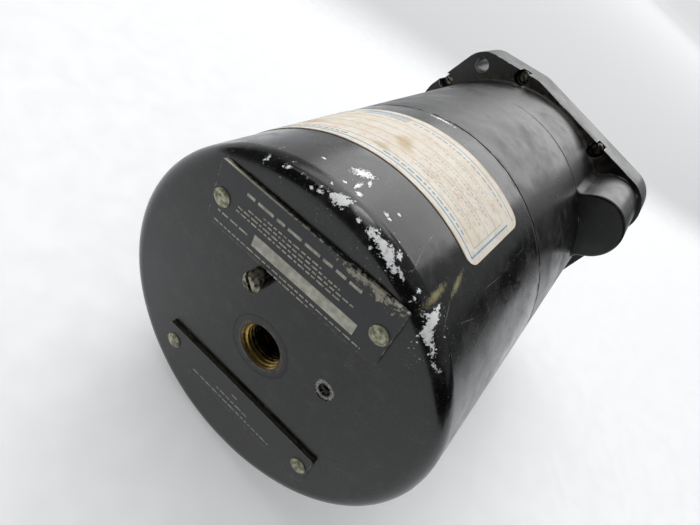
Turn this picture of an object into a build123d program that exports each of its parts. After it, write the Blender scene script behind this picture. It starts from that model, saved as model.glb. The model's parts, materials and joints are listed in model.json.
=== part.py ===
from build123d import *
from math import acos, atan2, cos, degrees, hypot, pi, radians, sin, sqrt, tan
import os

# Vertical speed indicator for a 3-1/8 inch panel hole, in millimetres.
# The origin is the centre of the mounting flange's rear face, on the instrument's axis.
# +Y runs to the rear along the barrel, the dial faces -Y, and +Z is up on the dial.
# Angles are seen from the front: zero at +X, growing towards +Z.

# Case, from the flange to the rear face
case_radius = 39.7
case_wall = 3.7
case_length = 119.4
case_foot_round = 1.0
seam_y = 65.65
seam_gap = 0.6
seam_depth = 0.8
spigot_length = 6.0
spigot_wall = 1.7
spigot_clearance = 0.05
spigot_end_gap = 0.5
cover_wall = 3.0
cover_end_wall = 4.0
cover_edge_round = 3.8
cover_inner_round = 2.5
ledge_front = 3.0
ledge_rear = 6.0
ledge_width = 4.5

# Flange and bezel outline: three corners cut off at a shallow slope, one left full
flange_reach = 1.3
flange_thick = 6.4
flange_flat_half = 13.8
flange_slope = 14.0
flange_corner_round = 9.0
flange_bend_round = 8.0

# Housing lobe of the zero adjuster, at the full corner
lobe_angle = 135.0
lobe_reach = 2.9
lobe_radius = 9.65
lobe_length = 25.0
lobe_wall = 2.65
lobe_end_wall = 3.0
lobe_blend = 2.5
lobe_edge_round = 0.8
cavity_gap = 0.5

# Panel mounting holes, on the three cut-off corners
panel_hole_angles = (45, 225, 315)
panel_hole_reach = 4.75
panel_hole_radius = 2.3

# Bezel, its screws and their recesses in the rear of the flange
bezel_thick = 7.9
bezel_edge_round = 2.0
bezel_lip = 4.8
reveal_spread = 2.0
glass_seat = 2.8
glass_inset = 2.0
glass_thick = 2.4
glass_clearance = 0.2
gasket_width = 2.3
bezel_screw_reach = 2.4
bezel_screw_spread = 18.5
lobe_screw_reach = 2.0
lobe_screw_spread = 24.0
bezel_screw_radius = 1.1
bezel_screw_head_radius = 1.8
bezel_screw_head_height = 1.7
bezel_screw_length = 9.0
bezel_slot_turn = 37.0
recess_radius = 2.6
recess_depth = 4.6
screw_clearance = 0.15

# Rear face: static port, screws and plates, all turned together against the flange
rear_turn = 12.5
port_face_radius = 7.1
port_spigot_radius = 6.0
port_thread_radius = 4.95
port_thread_depth = 8.4
port_passage_radius = 1.5
port_screen_radius = 3.4
port_screen_thick = 0.5
port_floor = 1.1
port_mouth_bevel = 0.35
rear_screw_circle = 16.15
rear_screw_angle = 69.0
empty_hole_angle = 166.0
rear_screw_radius = 1.25
rear_hole_radius = 1.35
rear_seat_radius = 2.35
rear_seat_depth = 0.15
rear_head_radius = 2.1
rear_head_height = 3.2
rear_screw_length = 24.0
rear_slot_turn = 35.0
name_plate_width = 41.3
name_plate_height = 13.56
name_plate_z = 25.16
name_plate_thick = 0.8
name_rivet_inset = 2.21
name_rivet_drop = 0.39
lower_plate_width = 44.7
lower_plate_height = 9.4
lower_plate_z = -19.25
lower_plate_thick = 0.9
lower_rivet_inset = 2.35
rivet_head_radius = 1.9
rivet_head_height = 0.7
rivet_shank_radius = 0.9
rivet_depth = 1.5

# Paper label on the cover
label_thick = 0.15
label_front = 74.4
label_rear = 100.9
label_start_angle = 2.5
label_end_angle = 111.5
label_corner_round = 3.0

# Dial side
dial_clearance = 1.3
dial_thick = 0.8
dial_front = -4.0
dial_hole_radius = 2.0
dial_screw_circle = 18.0
dial_screw_angles = (-35, -145)
dial_post_radius = 2.0
dial_screw_depth = 3.0
dial_screw_radius = 0.8
dial_screw_head_radius = 1.6
dial_screw_head_height = 0.8
dial_slot_turn = 25.0
pointer_length = 29.0
pointer_tail = 9.0
pointer_width = 3.2
pointer_thick = 0.4
pointer_rear = -5.4
hub_radius = 2.6
hub_flange_thick = 0.8
hub_spigot_radius = 1.6
hub_spigot_length = 0.9

# Gear train: twelve-leaf pinion on the handstaff, driven by a sector
gear_module = 0.5
pressure_angle = 25.0
addendum = 0.75
dedendum = 1.05
flank_play = 0.04
pinion_leaves = 12
sector_circle_teeth = 96
sector_teeth = 15
rocking_x = 4.0
arm_length = 4.0

# Movement frame
plate_clearance = 0.4
front_plate_thick = 2.2
middle_plate_front = 24.0
middle_plate_thick = 2.0
middle_plate_gap = 5.0
pillar_insets = (6.26, 6.26, 3.8)
pillar_angles = (194, 346, 54)
pillar_radius = 2.5
bridge_front = 58.0
bridge_thick = 2.0
post_radius = 2.5
third_post = (15.0, -4.0)
block_thick = 10.0
block_radius = 9.0
block_ear_radius = 4.5
bridge_ear_radius = 4.5
post_drill_depth = 14.0
pillar_screw_depth = 6.0
plate_screw_depth = 5.0
frame_screw_radius = 0.9
frame_screw_head_radius = 1.7
frame_screw_head_height = 1.2
front_screw_angles = (60, 180, 300)
front_screw_inset = 2.1

# Staffs, their journals and bushes
staff_radius = 1.3
staff_front_journal = 0.9
staff_rear_journal = 0.7
staff_front_reach = 0.2
journal_play = 0.04
end_play = 0.15
bush_wall = 1.3
pinion_front = 17.5
pinion_rear = 22.5
rocking_radius = 1.2
rocking_journal = 0.8
sector_front = 19.2
sector_thick = 1.6
sector_hub_radius = 2.8
sector_hub_front = 18.2
sector_hub_rear = 22.0
sector_rim = 2.2
sector_web_half = 1.4
sector_web_half_angle = 4.0
counterweight_radius = 2.0
counterweight_reach = 5.0
counterweight_thick = 2.4
arm_front = 49.8
arm_thick = 1.2
arm_hub_front = 47.5
arm_hub_radius = 2.8
arm_tip_radius = 1.6
arm_pin_radius = 0.6
arm_pin_length = 2.2

# Hairspring
collet_front = 10.5
collet_length = 2.0
collet_radius = 2.2
hairspring_thick = 0.15
hairspring_width = 0.6
hairspring_gap = 0.05
hairspring_pitch = 1.0
hairspring_half_turns = 11
hairspring_stud_radius = 0.8
hairspring_stud_gap = 0.9

# Capsule, its foot and its link
capsule_y = 52.0
capsule_rise = 20.5
capsule_radius = 20.0
capsule_skin = 0.35
capsule_rim_half = 0.6
capsule_rim_width = 1.5
capsule_half_height = 3.5
capsule_waves = 3
capsule_centre_radius = 4.5
capsule_ripple = 0.45
stud_flange_radius = 4.0
stud_flange_thick = 1.0
stud_radius = 1.5
stud_height = 6.0
foot_flange_radius = 5.0
foot_flange_thick = 5.0
foot_shank_radius = 2.0
foot_shank_length = 5.5
foot_bore_radius = 0.7
nut_across_flats = 7.0
nut_thick = 2.0
bracket_thick = 1.5
bracket_half_width = 10.0
bracket_end_radius = 9.0
bracket_upright_height = 14.0
bracket_screw_x = 7.0
bracket_screw_rise = 10.5
tongue_front = 30.2
tongue_left = -22.5
tongue_width = 4.5
tongue_foot_width = 7.0
tongue_foot_height = 2.4
tongue_gap = 0.35
tongue_thick = 1.6
link_thick = 0.8
link_width = 2.4
link_eye_radius = 2.0
link_slot_play = 0.08
link_slot_reach = 0.4
link_rivet_radius = 0.5
link_foot_gap = 0.8
link_rivet_rise = 4.0

# Pressure side
tube_radius = 1.0
tube_low_gap = 2.2
tube_bend = 3.0
tube_back = 8.0
tube_seat = 2.0
chamber_radius = 3.0
chamber_depth = 2.0
leak_radius = 3.5
leak_length = 15.0
leak_bore_radius = 1.8
leak_plug_length = 6.0
leak_plug_inset = 2.5

# Rings of rubber
seal_section = 1.2
seal_room_play = 0.1
seal_fit = 0.05

# Zero adjuster
adjust_head_radius = 3.3
adjust_head_height = 1.9
adjust_head_gap = 0.2
adjust_well_depth = 2.7
adjust_well_clearance = 0.4
adjust_shaft_radius = 2.0
adjust_thin_radius = 1.6
adjust_tip_radius = 1.2
adjust_play = 0.05
adjust_slot_width = 0.9
adjust_slot_depth = 1.1
adjust_slot_turn = 20.0
adjust_tip_length = 1.4
collar_radius = 3.0
collar_thick = 1.3
collar_gap = 0.1
adjust_pinion_front = 9.0
adjust_pinion_length = 4.0
adjust_circle_teeth = 60
adjust_teeth = 5
adjust_sector_front = 9.8
adjust_sector_thick = 1.6
adjust_hub_radius = 3.0
eccentric_radius = 1.5
eccentric_disc_radius = 2.2
eccentric_offset = 0.6
eccentric_disc_front = 29.5
eccentric_disc_thick = 4.0

# Values that follow from the sizes above
case_bore = case_radius - case_wall
spigot_radius = case_bore + spigot_wall
cover_bore = case_radius - cover_wall
cover_inner_y = case_length - cover_end_wall
flange_half = case_radius + flange_reach
lobe_centre = case_radius + lobe_reach
panel_circle_radius = case_radius + panel_hole_reach
bezel_screw_circle = case_radius + bezel_screw_reach
lobe_screw_circle = case_radius + lobe_screw_reach
glass_radius = case_radius - glass_inset
window_radius = glass_radius - glass_seat
window_mouth_radius = window_radius + reveal_spread
dial_radius = case_bore - dial_clearance
name_rivet_x = name_plate_width / 2 - name_rivet_inset
name_rivet_z = name_plate_z - name_rivet_drop
lower_rivet_x = lower_plate_width / 2 - lower_rivet_inset
bezel_rear = -flange_thick
bezel_front = bezel_rear - bezel_thick
bezel_screw_tip = -recess_depth - bezel_screw_length
glass_front = bezel_front + bezel_lip
glass_rear = glass_front + glass_thick
pocket_radius = glass_radius + glass_clearance
cavity_front = ledge_rear + cavity_gap
front_plate_front = ledge_rear
front_plate_rear = front_plate_front + front_plate_thick
front_plate_radius = case_bore - plate_clearance
middle_plate_radius = case_bore - middle_plate_gap
middle_plate_rear = middle_plate_front + middle_plate_thick
bridge_rear = bridge_front + bridge_thick
block_front = cover_inner_y - block_thick
thread_end = case_length - port_thread_depth
screen_end = thread_end - port_screen_thick
block_bore_front = screen_end - port_floor
pinion_pitch_radius = gear_module * pinion_leaves / 2
sector_pitch_radius = gear_module * sector_circle_teeth / 2
rocking_distance = pinion_pitch_radius + sector_pitch_radius
rocking_place = (rocking_x, sqrt(rocking_distance**2 - rocking_x**2))
rocking_angle = degrees(atan2(rocking_place[1], rocking_x))
link_x = rocking_x - arm_length
adjust_pitch_radius = gear_module * adjust_circle_teeth / 2
adjust_distance = pinion_pitch_radius + adjust_pitch_radius
capsule_mid_z = capsule_rise - case_bore
capsule_top_z = capsule_mid_z + capsule_half_height
capsule_bottom_z = capsule_mid_z - capsule_half_height
link_rivet_z = capsule_top_z + link_rivet_rise
link_low_z = capsule_top_z + stud_flange_thick + link_foot_gap
bracket_top_z = capsule_bottom_z - foot_flange_thick
bracket_low_z = bracket_top_z - bracket_thick
bracket_screw_z = bracket_low_z + bracket_screw_rise
foot_low_z = bracket_top_z - foot_shank_length
tube_top_z = -block_radius + tube_seat
tube_low_z = tube_low_gap - case_bore
tube_y = cover_inner_y - tube_back


def polar(radius, angle):
    """Point (x, z) at a radius and an angle as seen from the front."""
    return radius * cos(radians(angle)), radius * sin(radians(angle))


adjust_place = polar(lobe_centre, lobe_angle)
eccentric_place = polar(lobe_centre - adjust_distance, lobe_angle)
post_a = polar(rear_screw_circle, rear_screw_angle - rear_turn)
post_b = polar(rear_screw_circle, empty_hole_angle - rear_turn)
post_places = (post_a, post_b, third_post)
pillar_places = [
    polar(middle_plate_radius - inset, angle)
    for inset, angle in zip(pillar_insets, pillar_angles)
]


def station(y):
    """Sketch plane at depth y: its own x is +X and its own y is +Z."""
    return Plane(origin=(0, y, 0), x_dir=(1, 0, 0), z_dir=(0, -1, 0))


def slab(outline, front, rear):
    """Solid of one outline between two depths."""
    return extrude(station(rear) * outline, amount=rear - front)


def rod(radius, front, rear, place=(0, 0)):
    """Round bar along Y between two depths."""
    return slab(Pos(*place) * Circle(radius), front, rear)


def turned(points, place=(0, 0)):
    """Solid of revolution about a line along Y, from (radius, depth) points."""
    half = make_face(Polyline(*points, close=True))
    return Pos(place[0], 0, place[1]) * revolve(half, Axis.Y)


def ring(inner, outer, front, rear, place=(0, 0)):
    """Flat ring or bush along Y."""
    return rod(outer, front, rear, place) - rod(inner, front, rear, place)


def hull_of(circles):
    """Outline that wraps a set of (x, z, radius) circles."""
    edges = [(Pos(x, z) * Circle(radius)).edges() for x, z, radius in circles]
    return make_hull([edge for group in edges for edge in group])


def slotted_screw(place, seat, tip, radius, head_radius, head_height, slot_turn=0):
    """Screw whose head stands on the rear side of its seat, with a driver slot."""
    crown = head_height * 0.8
    body = turned(
        [
            (0, tip),
            (radius, tip),
            (radius, seat),
            (head_radius, seat),
            (head_radius, seat + crown),
            (head_radius * 0.72, seat + head_height),
            (0, seat + head_height),
        ],
        place,
    )
    slot = Rot(Z=slot_turn) * Rectangle(3 * head_radius, 0.36 * head_radius)
    return body - slab(Pos(*place) * slot, seat + 0.5 * head_height, seat + 2 * head_height)


def group(solids):
    """Several separate solids that make one node."""
    return Compound(children=[part for item in solids for part in item.solids()])


def flange_outline():
    """Square with three corners cut off along shallow slopes and one full corner."""
    fall = tan(radians(flange_slope))
    tip = (flange_half + flange_flat_half * fall) / (1 + fall)
    flat = flange_flat_half
    side = flange_half
    corners = [
        (side, -flat),
        (side, flat),
        (tip, tip),
        (flat, side),
        (-side, side),
        (-side, -flat),
        (-tip, -tip),
        (-flat, -side),
        (flat, -side),
        (tip, -tip),
    ]
    outline = make_face(Polyline(*corners, close=True))
    full_round = side - lobe_centre * cos(radians(lobe_angle - 90))
    full = [v for v in outline.vertices() if hypot(v.X, v.Y) > 1.3 * side]
    outline = fillet(full, full_round)
    tips = [v for v in outline.vertices() if abs(abs(v.X) - tip) + abs(abs(v.Y) - tip) < 0.1]
    outline = fillet(tips, flange_corner_round)
    bends = [v for v in outline.vertices() if abs(min(abs(v.X), abs(v.Y)) - flat) < 0.1]
    return fillet(bends, flange_bend_round)


def lobe_outline(radius, inner_end):
    """Round-ended tongue that points out of the barrel at the lobe's angle."""
    length = lobe_centre - inner_end
    tongue = Pos(inner_end + length / 2, 0) * Rectangle(length, 2 * radius)
    return Rot(Z=lobe_angle) * (tongue + Pos(lobe_centre, 0) * Circle(radius))


def bezel_screw_places():
    """Two screws beside each corner, further apart beside the lobe."""
    places = []
    for corner in panel_hole_angles:
        for side in (-1, 1):
            places.append(polar(bezel_screw_circle, corner + side * bezel_screw_spread))
    for side in (-1, 1):
        places.append(polar(lobe_screw_circle, lobe_angle + side * lobe_screw_spread))
    return places


def lobed_outline():
    """Barrel's circle with the adjuster's lobe blended into it."""
    outline = Circle(case_radius) + lobe_outline(lobe_radius, lobe_centre - lobe_radius)
    joins = [v for v in outline.vertices() if abs(hypot(v.X, v.Y) - case_radius) < 0.01]
    return fillet(joins, lobe_blend)


def foot_fillet(outline):
    """Concave ring where the barrel rises from the flange, kept clear of the lobe."""
    foot = case_foot_round
    corner = Pos(case_radius, foot / 2) * Rectangle(2 * foot, foot)
    hollow = Pos(case_radius + foot, foot) * Circle(foot)
    return revolve(corner - hollow, Axis.Y) - slab(outline, -foot, 2 * foot)


def front_case():
    """Casting: flange, barrel with a spigot, inner ledge and the adjuster's lobe."""
    outline = lobed_outline()
    lobe = slab(outline, 0, lobe_length)
    rim = [
        edge
        for edge in lobe.edges()
        if edge.center().Y > lobe_length - 0.01
        and hypot(edge.center().X, edge.center().Z) > case_radius + 1.5
    ]
    spigot_end = seam_y + spigot_length
    barrel = turned(
        [
            (0, lobe_length),
            (case_radius, lobe_length),
            (case_radius, seam_y),
            (spigot_radius, seam_y),
            (spigot_radius, spigot_end),
            (0, spigot_end),
        ]
    )
    case = slab(flange_outline(), bezel_rear, 0) + fillet(rim, lobe_edge_round) + barrel
    case += foot_fillet(outline)
    ledge_bore = case_bore - ledge_width
    case -= turned(
        [
            (0, bezel_rear),
            (case_bore, bezel_rear),
            (case_bore, ledge_front),
            (ledge_bore, ledge_front),
            (ledge_bore, ledge_rear),
            (case_bore, ledge_rear),
            (case_bore, spigot_end),
            (0, spigot_end),
        ]
    )
    cavity_end = lobe_length - lobe_end_wall
    cavity = lobe_outline(lobe_radius - lobe_wall, case_bore - 2)
    case -= slab(cavity, cavity_front, cavity_end)
    shaft_hole = adjust_shaft_radius + adjust_play
    tip_hole = adjust_tip_radius + adjust_play
    case -= turned(
        [
            (0, bezel_rear),
            (shaft_hole + seal_section, bezel_rear),
            (shaft_hole + seal_section, bezel_rear + seal_section),
            (shaft_hole, bezel_rear + seal_section),
            (shaft_hole, cavity_front + 1),
            (0, cavity_front + 1),
        ],
        adjust_place,
    )
    case -= rod(tip_hole, cavity_end - 1, cavity_end + adjust_tip_length + 0.5, adjust_place)
    for place in bezel_screw_places():
        case -= rod(recess_radius, -recess_depth, 2 * case_foot_round, place)
        case -= rod(bezel_screw_radius + screw_clearance, bezel_rear, 0, place)
    for angle in panel_hole_angles:
        case -= rod(panel_hole_radius, bezel_rear, 1, polar(panel_circle_radius, angle))
    for place in front_screw_places():
        case -= rod(frame_screw_radius, ledge_front, ledge_rear, place)
    return case


def rear_cover():
    """Cup over the rear half, with a well rounded rear edge."""
    mouth = seam_y + seam_gap
    edge = cover_edge_round
    inner = cover_inner_round
    corner = 1 - sqrt(0.5)
    socket = spigot_radius + spigot_clearance
    socket_end = seam_y + spigot_length + spigot_end_gap
    outside = Polyline((0, case_length), (case_radius - edge, case_length))
    outside_arc = ThreePointArc(
        (case_radius - edge, case_length),
        (case_radius - edge * corner, case_length - edge * corner),
        (case_radius, case_length - edge),
    )
    wall = Polyline(
        (case_radius, case_length - edge),
        (case_radius, mouth),
        (socket, mouth),
        (socket, socket_end),
        (cover_bore, socket_end),
        (cover_bore, cover_inner_y - inner),
    )
    inside_arc = ThreePointArc(
        (cover_bore, cover_inner_y - inner),
        (cover_bore - inner * corner, cover_inner_y - inner * corner),
        (cover_bore - inner, cover_inner_y),
    )
    inside = Polyline((cover_bore - inner, cover_inner_y), (0, cover_inner_y), (0, case_length))
    cover = revolve(make_face(outside + outside_arc + wall + inside_arc + inside), Axis.Y)
    cover -= rod(port_face_radius, cover_inner_y, case_length)
    for place in (post_a, post_b):
        cover -= rod(rear_hole_radius, cover_inner_y, case_length, place)
        cover -= rod(rear_seat_radius, case_length - rear_seat_depth, case_length, place)
    for x, z in name_rivet_places() + lower_rivet_places():
        cover -= rod(rivet_shank_radius, case_length - rivet_depth, case_length, (x, z))
    return cover


def rear_place(x, z):
    """Point on the rear face, from its place in the frame of the rear plates."""
    return polar(hypot(x, z), degrees(atan2(z, x)) - rear_turn)


def name_rivet_places():
    return [rear_place(side * name_rivet_x, name_rivet_z) for side in (-1, 1)]


def lower_rivet_places():
    return [rear_place(side * lower_rivet_x, lower_plate_z) for side in (-1, 1)]


def rear_plate(width, height, z, thick, rivets):
    """Plate that lies flat on the rear face, with its rivet holes."""
    outline = Rot(Z=-rear_turn) * Pos(0, z) * RectangleRounded(width, height, 0.6)
    plate = slab(outline, case_length, case_length + thick)
    for place in rivets:
        plate -= rod(rivet_shank_radius, case_length, case_length + thick, place)
    return plate


def rivets(places, thick):
    """Drive rivets with low domed heads."""
    top = case_length + thick
    solids = []
    for place in places:
        rise = rivet_head_height
        head = turned(
            [
                (0, case_length - rivet_depth),
                (rivet_shank_radius, case_length - rivet_depth),
                (rivet_shank_radius, top),
                (rivet_head_radius, top),
                (rivet_head_radius, top + 0.3 * rise),
                (rivet_head_radius * 0.7, top + 0.8 * rise),
                (rivet_head_radius * 0.3, top + rise),
                (0, top + rise),
            ],
            place,
        )
        solids.append(head)
    return group(solids)


def seam_gasket():
    """Rubber ring that fills the groove between barrel and cover."""
    return ring(spigot_radius, case_radius - seam_depth, seam_y, seam_y + seam_gap)


def paper_label():
    """Paper sheet that lies round the cover, with rounded corners."""
    shell = ring(case_radius, case_radius + label_thick, label_front, label_rear)
    angles = [label_start_angle, (label_start_angle + label_end_angle) / 2, label_end_angle]
    rays = [polar(2 * case_radius, angle) for angle in angles]
    wedge = make_face(Polyline((0, 0), *rays, close=True))
    sheet = shell & slab(wedge, label_front, label_rear)
    upright = [edge for edge in sheet.edges() if edge.length < 2 * label_thick]
    return fillet(upright, label_corner_round)


def port_bushing():
    """Brass insert of the static port, with its bore at the thread's full width."""
    return turned(
        [
            (port_passage_radius, block_bore_front),
            (port_spigot_radius, block_bore_front),
            (port_spigot_radius, cover_inner_y),
            (port_face_radius, cover_inner_y),
            (port_face_radius, case_length),
            (port_thread_radius + port_mouth_bevel, case_length),
            (port_thread_radius, case_length - port_mouth_bevel),
            (port_thread_radius, thread_end),
            (port_screen_radius, thread_end),
            (port_screen_radius, screen_end),
            (port_passage_radius, screen_end),
        ]
    )


def seal(inner, front, place=(0, 0)):
    """Round rubber ring with its front side at the given depth."""
    half = Pos(inner + seal_section / 2, front + seal_section / 2) * Circle(seal_section / 2)
    return Pos(place[0], 0, place[1]) * revolve(half, Axis.Y)


def rear_block():
    """Block inside the cover's end wall that carries the port, the tube and the leak."""
    discs = [(x, z, block_ear_radius) for x, z in post_places] + [(0, 0, block_radius)]
    block = slab(hull_of(discs), block_front, cover_inner_y)
    seal_room = port_spigot_radius + seal_section + seal_room_play
    block -= turned(
        [
            (0, cover_inner_y),
            (seal_room, cover_inner_y),
            (seal_room, cover_inner_y - seal_section),
            (port_spigot_radius, cover_inner_y - seal_section),
            (port_spigot_radius, block_bore_front),
            (chamber_radius, block_bore_front),
            (chamber_radius, block_bore_front - chamber_depth),
            (leak_bore_radius, block_bore_front - chamber_depth),
            (leak_bore_radius, block_front),
            (0, block_front),
        ]
    )
    for place in (post_a, post_b):
        block -= rod(rear_hole_radius, block_front, cover_inner_y, place)
    block -= rod(frame_screw_radius, block_front, cover_inner_y, third_post)
    sink = cover_inner_y - frame_screw_head_height
    block -= rod(frame_screw_head_radius + screw_clearance, sink, cover_inner_y, third_post)
    return block - upright_rod(tube_radius, -block_radius - 2, tube_top_z, tube_y)


def upright_rod(radius, low, high, y, x=0):
    """Round bar along Z."""
    return Pos(x, y, low) * extrude(Circle(radius), amount=high - low)


def static_tube():
    """Tube from the rear block, under the capsule, to the capsule's foot."""
    line = FilletPolyline(
        (0, tube_y, tube_top_z),
        (0, tube_y, tube_low_z),
        (0, capsule_y, tube_low_z),
        (0, capsule_y, foot_low_z),
        radius=tube_bend,
    )
    mouth = Plane(origin=(0, tube_y, tube_top_z), z_dir=(0, 0, -1))
    return sweep(mouth * Circle(tube_radius), path=line)


def leak_body():
    """Brass tube on the block that holds the porous plug."""
    return ring(leak_bore_radius, leak_radius, block_front - leak_length, block_front)


def leak_plug():
    """Porous ceramic plug that lets the case breathe slowly."""
    front = block_front - leak_length + leak_plug_inset
    return rod(leak_bore_radius, front, front + leak_plug_length)


def bezel():
    """Front ring: rounded outer edge, sloped window reveal and a pocket for the glass."""
    solid = slab(flange_outline(), bezel_front, bezel_rear)
    front_edges = [edge for edge in solid.edges() if edge.center().Y < bezel_front + 0.01]
    solid = fillet(front_edges, bezel_edge_round)
    solid -= turned(
        [
            (0, bezel_front),
            (window_mouth_radius, bezel_front),
            (window_radius, glass_front),
            (pocket_radius, glass_front),
            (pocket_radius, bezel_rear),
            (0, bezel_rear),
        ]
    )
    well_radius = adjust_head_radius + adjust_well_clearance
    solid -= rod(well_radius, bezel_front, bezel_front + adjust_well_depth, adjust_place)
    solid -= rod(adjust_shaft_radius + adjust_play, bezel_front, bezel_rear, adjust_place)
    for place in bezel_screw_places():
        solid -= rod(bezel_screw_radius, bezel_screw_tip, bezel_rear, place)
    for angle in panel_hole_angles:
        place = polar(panel_circle_radius, angle)
        solid -= rod(panel_hole_radius, bezel_front, bezel_rear, place)
    return solid


def bezel_screws():
    """Slotted screws that hold the bezel from the rear."""
    screws = []
    for index, place in enumerate(bezel_screw_places()):
        screws.append(
            slotted_screw(
                place,
                -recess_depth,
                bezel_screw_tip,
                bezel_screw_radius,
                bezel_screw_head_radius,
                bezel_screw_head_height,
                bezel_slot_turn * index,
            )
        )
    return group(screws)


def glass_gasket():
    """Rubber ring between the glass and the flange's front face."""
    return ring(pocket_radius - gasket_width, pocket_radius, glass_rear, bezel_rear)


def dial():
    """Dial plate with holes for the handstaff and its two screws."""
    rear = dial_front + dial_thick
    plate = rod(dial_radius, dial_front, rear) - rod(dial_hole_radius, dial_front, rear)
    for place in dial_screw_places():
        plate -= rod(dial_screw_radius, dial_front, rear, place)
    return plate


def dial_screw_places():
    return [polar(dial_screw_circle, angle) for angle in dial_screw_angles]


def dial_posts():
    """Posts between the front plate and the dial."""
    rear = dial_front + dial_thick
    posts = []
    for place in dial_screw_places():
        post = rod(dial_post_radius, rear, front_plate_front, place)
        posts.append(post - rod(dial_screw_radius, rear, rear + dial_screw_depth, place))
    return group(posts)


def dial_screws():
    """Two cheese-head screws on the dial."""
    tip = dial_front + dial_thick + dial_screw_depth
    solids = []
    for x, z in dial_screw_places():
        screw = slotted_screw(
            (x, -z), -dial_front, -tip, dial_screw_radius, dial_screw_head_radius,
            dial_screw_head_height, dial_slot_turn,
        )
        solids.append(screw.rotate(Axis.X, 180))
    return group(solids)


def pointer():
    """Pointer that lies at nine o'clock: a tapered blade and a short round tail."""
    blade = make_face(
        Polyline(
            (pointer_tail, pointer_width / 2),
            (0, pointer_width * 0.6),
            (-pointer_length * 0.72, pointer_width * 0.42),
            (-pointer_length, 0),
            (-pointer_length * 0.72, -pointer_width * 0.42),
            (0, -pointer_width * 0.6),
            (pointer_tail, -pointer_width / 2),
            close=True,
        )
    )
    outline = blade + Circle(hub_radius) + Pos(pointer_tail, 0) * Circle(pointer_width * 0.9)
    front = pointer_rear - pointer_thick
    return slab(outline, front, pointer_rear) - rod(hub_spigot_radius, front, pointer_rear)


def pointer_hub():
    """Brass hub that carries the pointer on the handstaff."""
    flange_rear = pointer_rear + hub_flange_thick
    return turned(
        [
            (staff_front_journal, pointer_rear - hub_spigot_length),
            (hub_spigot_radius, pointer_rear - hub_spigot_length),
            (hub_spigot_radius, pointer_rear),
            (hub_radius, pointer_rear),
            (hub_radius, flange_rear),
            (staff_front_journal, flange_rear),
        ]
    )


def involute(angle):
    """Involute function of a pressure angle in radians."""
    return tan(angle) - angle


def flank_half_angle(radius, circle_teeth):
    """Half the angle that a tooth takes up at a radius, in radians."""
    pitch_radius = gear_module * circle_teeth / 2
    base_radius = pitch_radius * cos(radians(pressure_angle))
    at_pitch = pi / (2 * circle_teeth) - flank_play / pitch_radius
    here = acos(min(1, base_radius / radius))
    return at_pitch + involute(radians(pressure_angle)) - involute(here)


def toothed_rim(circle_teeth, count, middle_angle):
    """Points along some teeth of a spur gear, the middle tooth at the given angle."""
    pitch_radius = gear_module * circle_teeth / 2
    root = pitch_radius - dedendum * gear_module
    tip = pitch_radius + addendum * gear_module
    levels = [root + (tip - root) * step / 4 for step in range(5)]
    pitch = 2 * pi / circle_teeth
    points = []
    for number in range(count):
        centre = radians(middle_angle) + (number - (count - 1) // 2) * pitch
        rising = [(r, centre - flank_half_angle(r, circle_teeth)) for r in levels]
        falling = [(r, centre + flank_half_angle(r, circle_teeth)) for r in reversed(levels)]
        points += [(r * cos(a), r * sin(a)) for r, a in rising + falling]
    return points


def full_gear(circle_teeth, middle_angle):
    """Outline of a whole spur gear with a tooth at the given angle."""
    rim = toothed_rim(circle_teeth, circle_teeth, middle_angle)
    return make_face(Polyline(*rim, close=True))


def gear_sector(circle_teeth, count, middle_angle, hub_radius_here):
    """Outline of a toothed sector with its hub."""
    rim = toothed_rim(circle_teeth, count, middle_angle)
    return make_face(Polyline((0, 0), *rim, close=True)) + Circle(hub_radius_here)


def handstaff():
    """Steel staff that carries the pointer, cut in one with its pinion."""
    front = pointer_rear - hub_spigot_length - staff_front_reach
    staff = turned(
        [
            (0, front),
            (staff_front_journal, front),
            (staff_front_journal, front_plate_rear + end_play),
            (staff_radius, front_plate_rear + end_play),
            (staff_radius, middle_plate_front - end_play),
            (staff_rear_journal, middle_plate_front - end_play),
            (staff_rear_journal, middle_plate_rear),
            (0, middle_plate_rear),
        ]
    )
    gap_turn = rocking_angle + 180 / pinion_leaves
    leaves = full_gear(pinion_leaves, gap_turn)
    return staff + slab(leaves, pinion_front, pinion_rear)


def staff_bushes():
    """Brass bushes of the handstaff in the front and middle plates."""
    front = staff_front_journal + journal_play
    rear = staff_rear_journal + journal_play
    return group(
        [
            ring(front, front + bush_wall, front_plate_front, front_plate_rear),
            ring(rear, rear + bush_wall, middle_plate_front, middle_plate_rear),
        ]
    )


def rocking_shaft():
    """Steel shaft between the front plate and the rear bridge."""
    return turned(
        [
            (0, front_plate_front),
            (rocking_journal, front_plate_front),
            (rocking_journal, front_plate_rear + end_play),
            (rocking_radius, front_plate_rear + end_play),
            (rocking_radius, bridge_front - end_play),
            (rocking_journal, bridge_front - end_play),
            (rocking_journal, bridge_rear),
            (0, bridge_rear),
        ],
        rocking_place,
    )


def rocking_bushes():
    """Brass bushes of the rocking shaft in the front plate and the rear bridge."""
    bore = rocking_journal + journal_play
    outer = bore + bush_wall
    return group(
        [
            ring(bore, outer, front_plate_front, front_plate_rear, rocking_place),
            ring(bore, outer, bridge_front, bridge_rear, rocking_place),
        ]
    )


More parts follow.
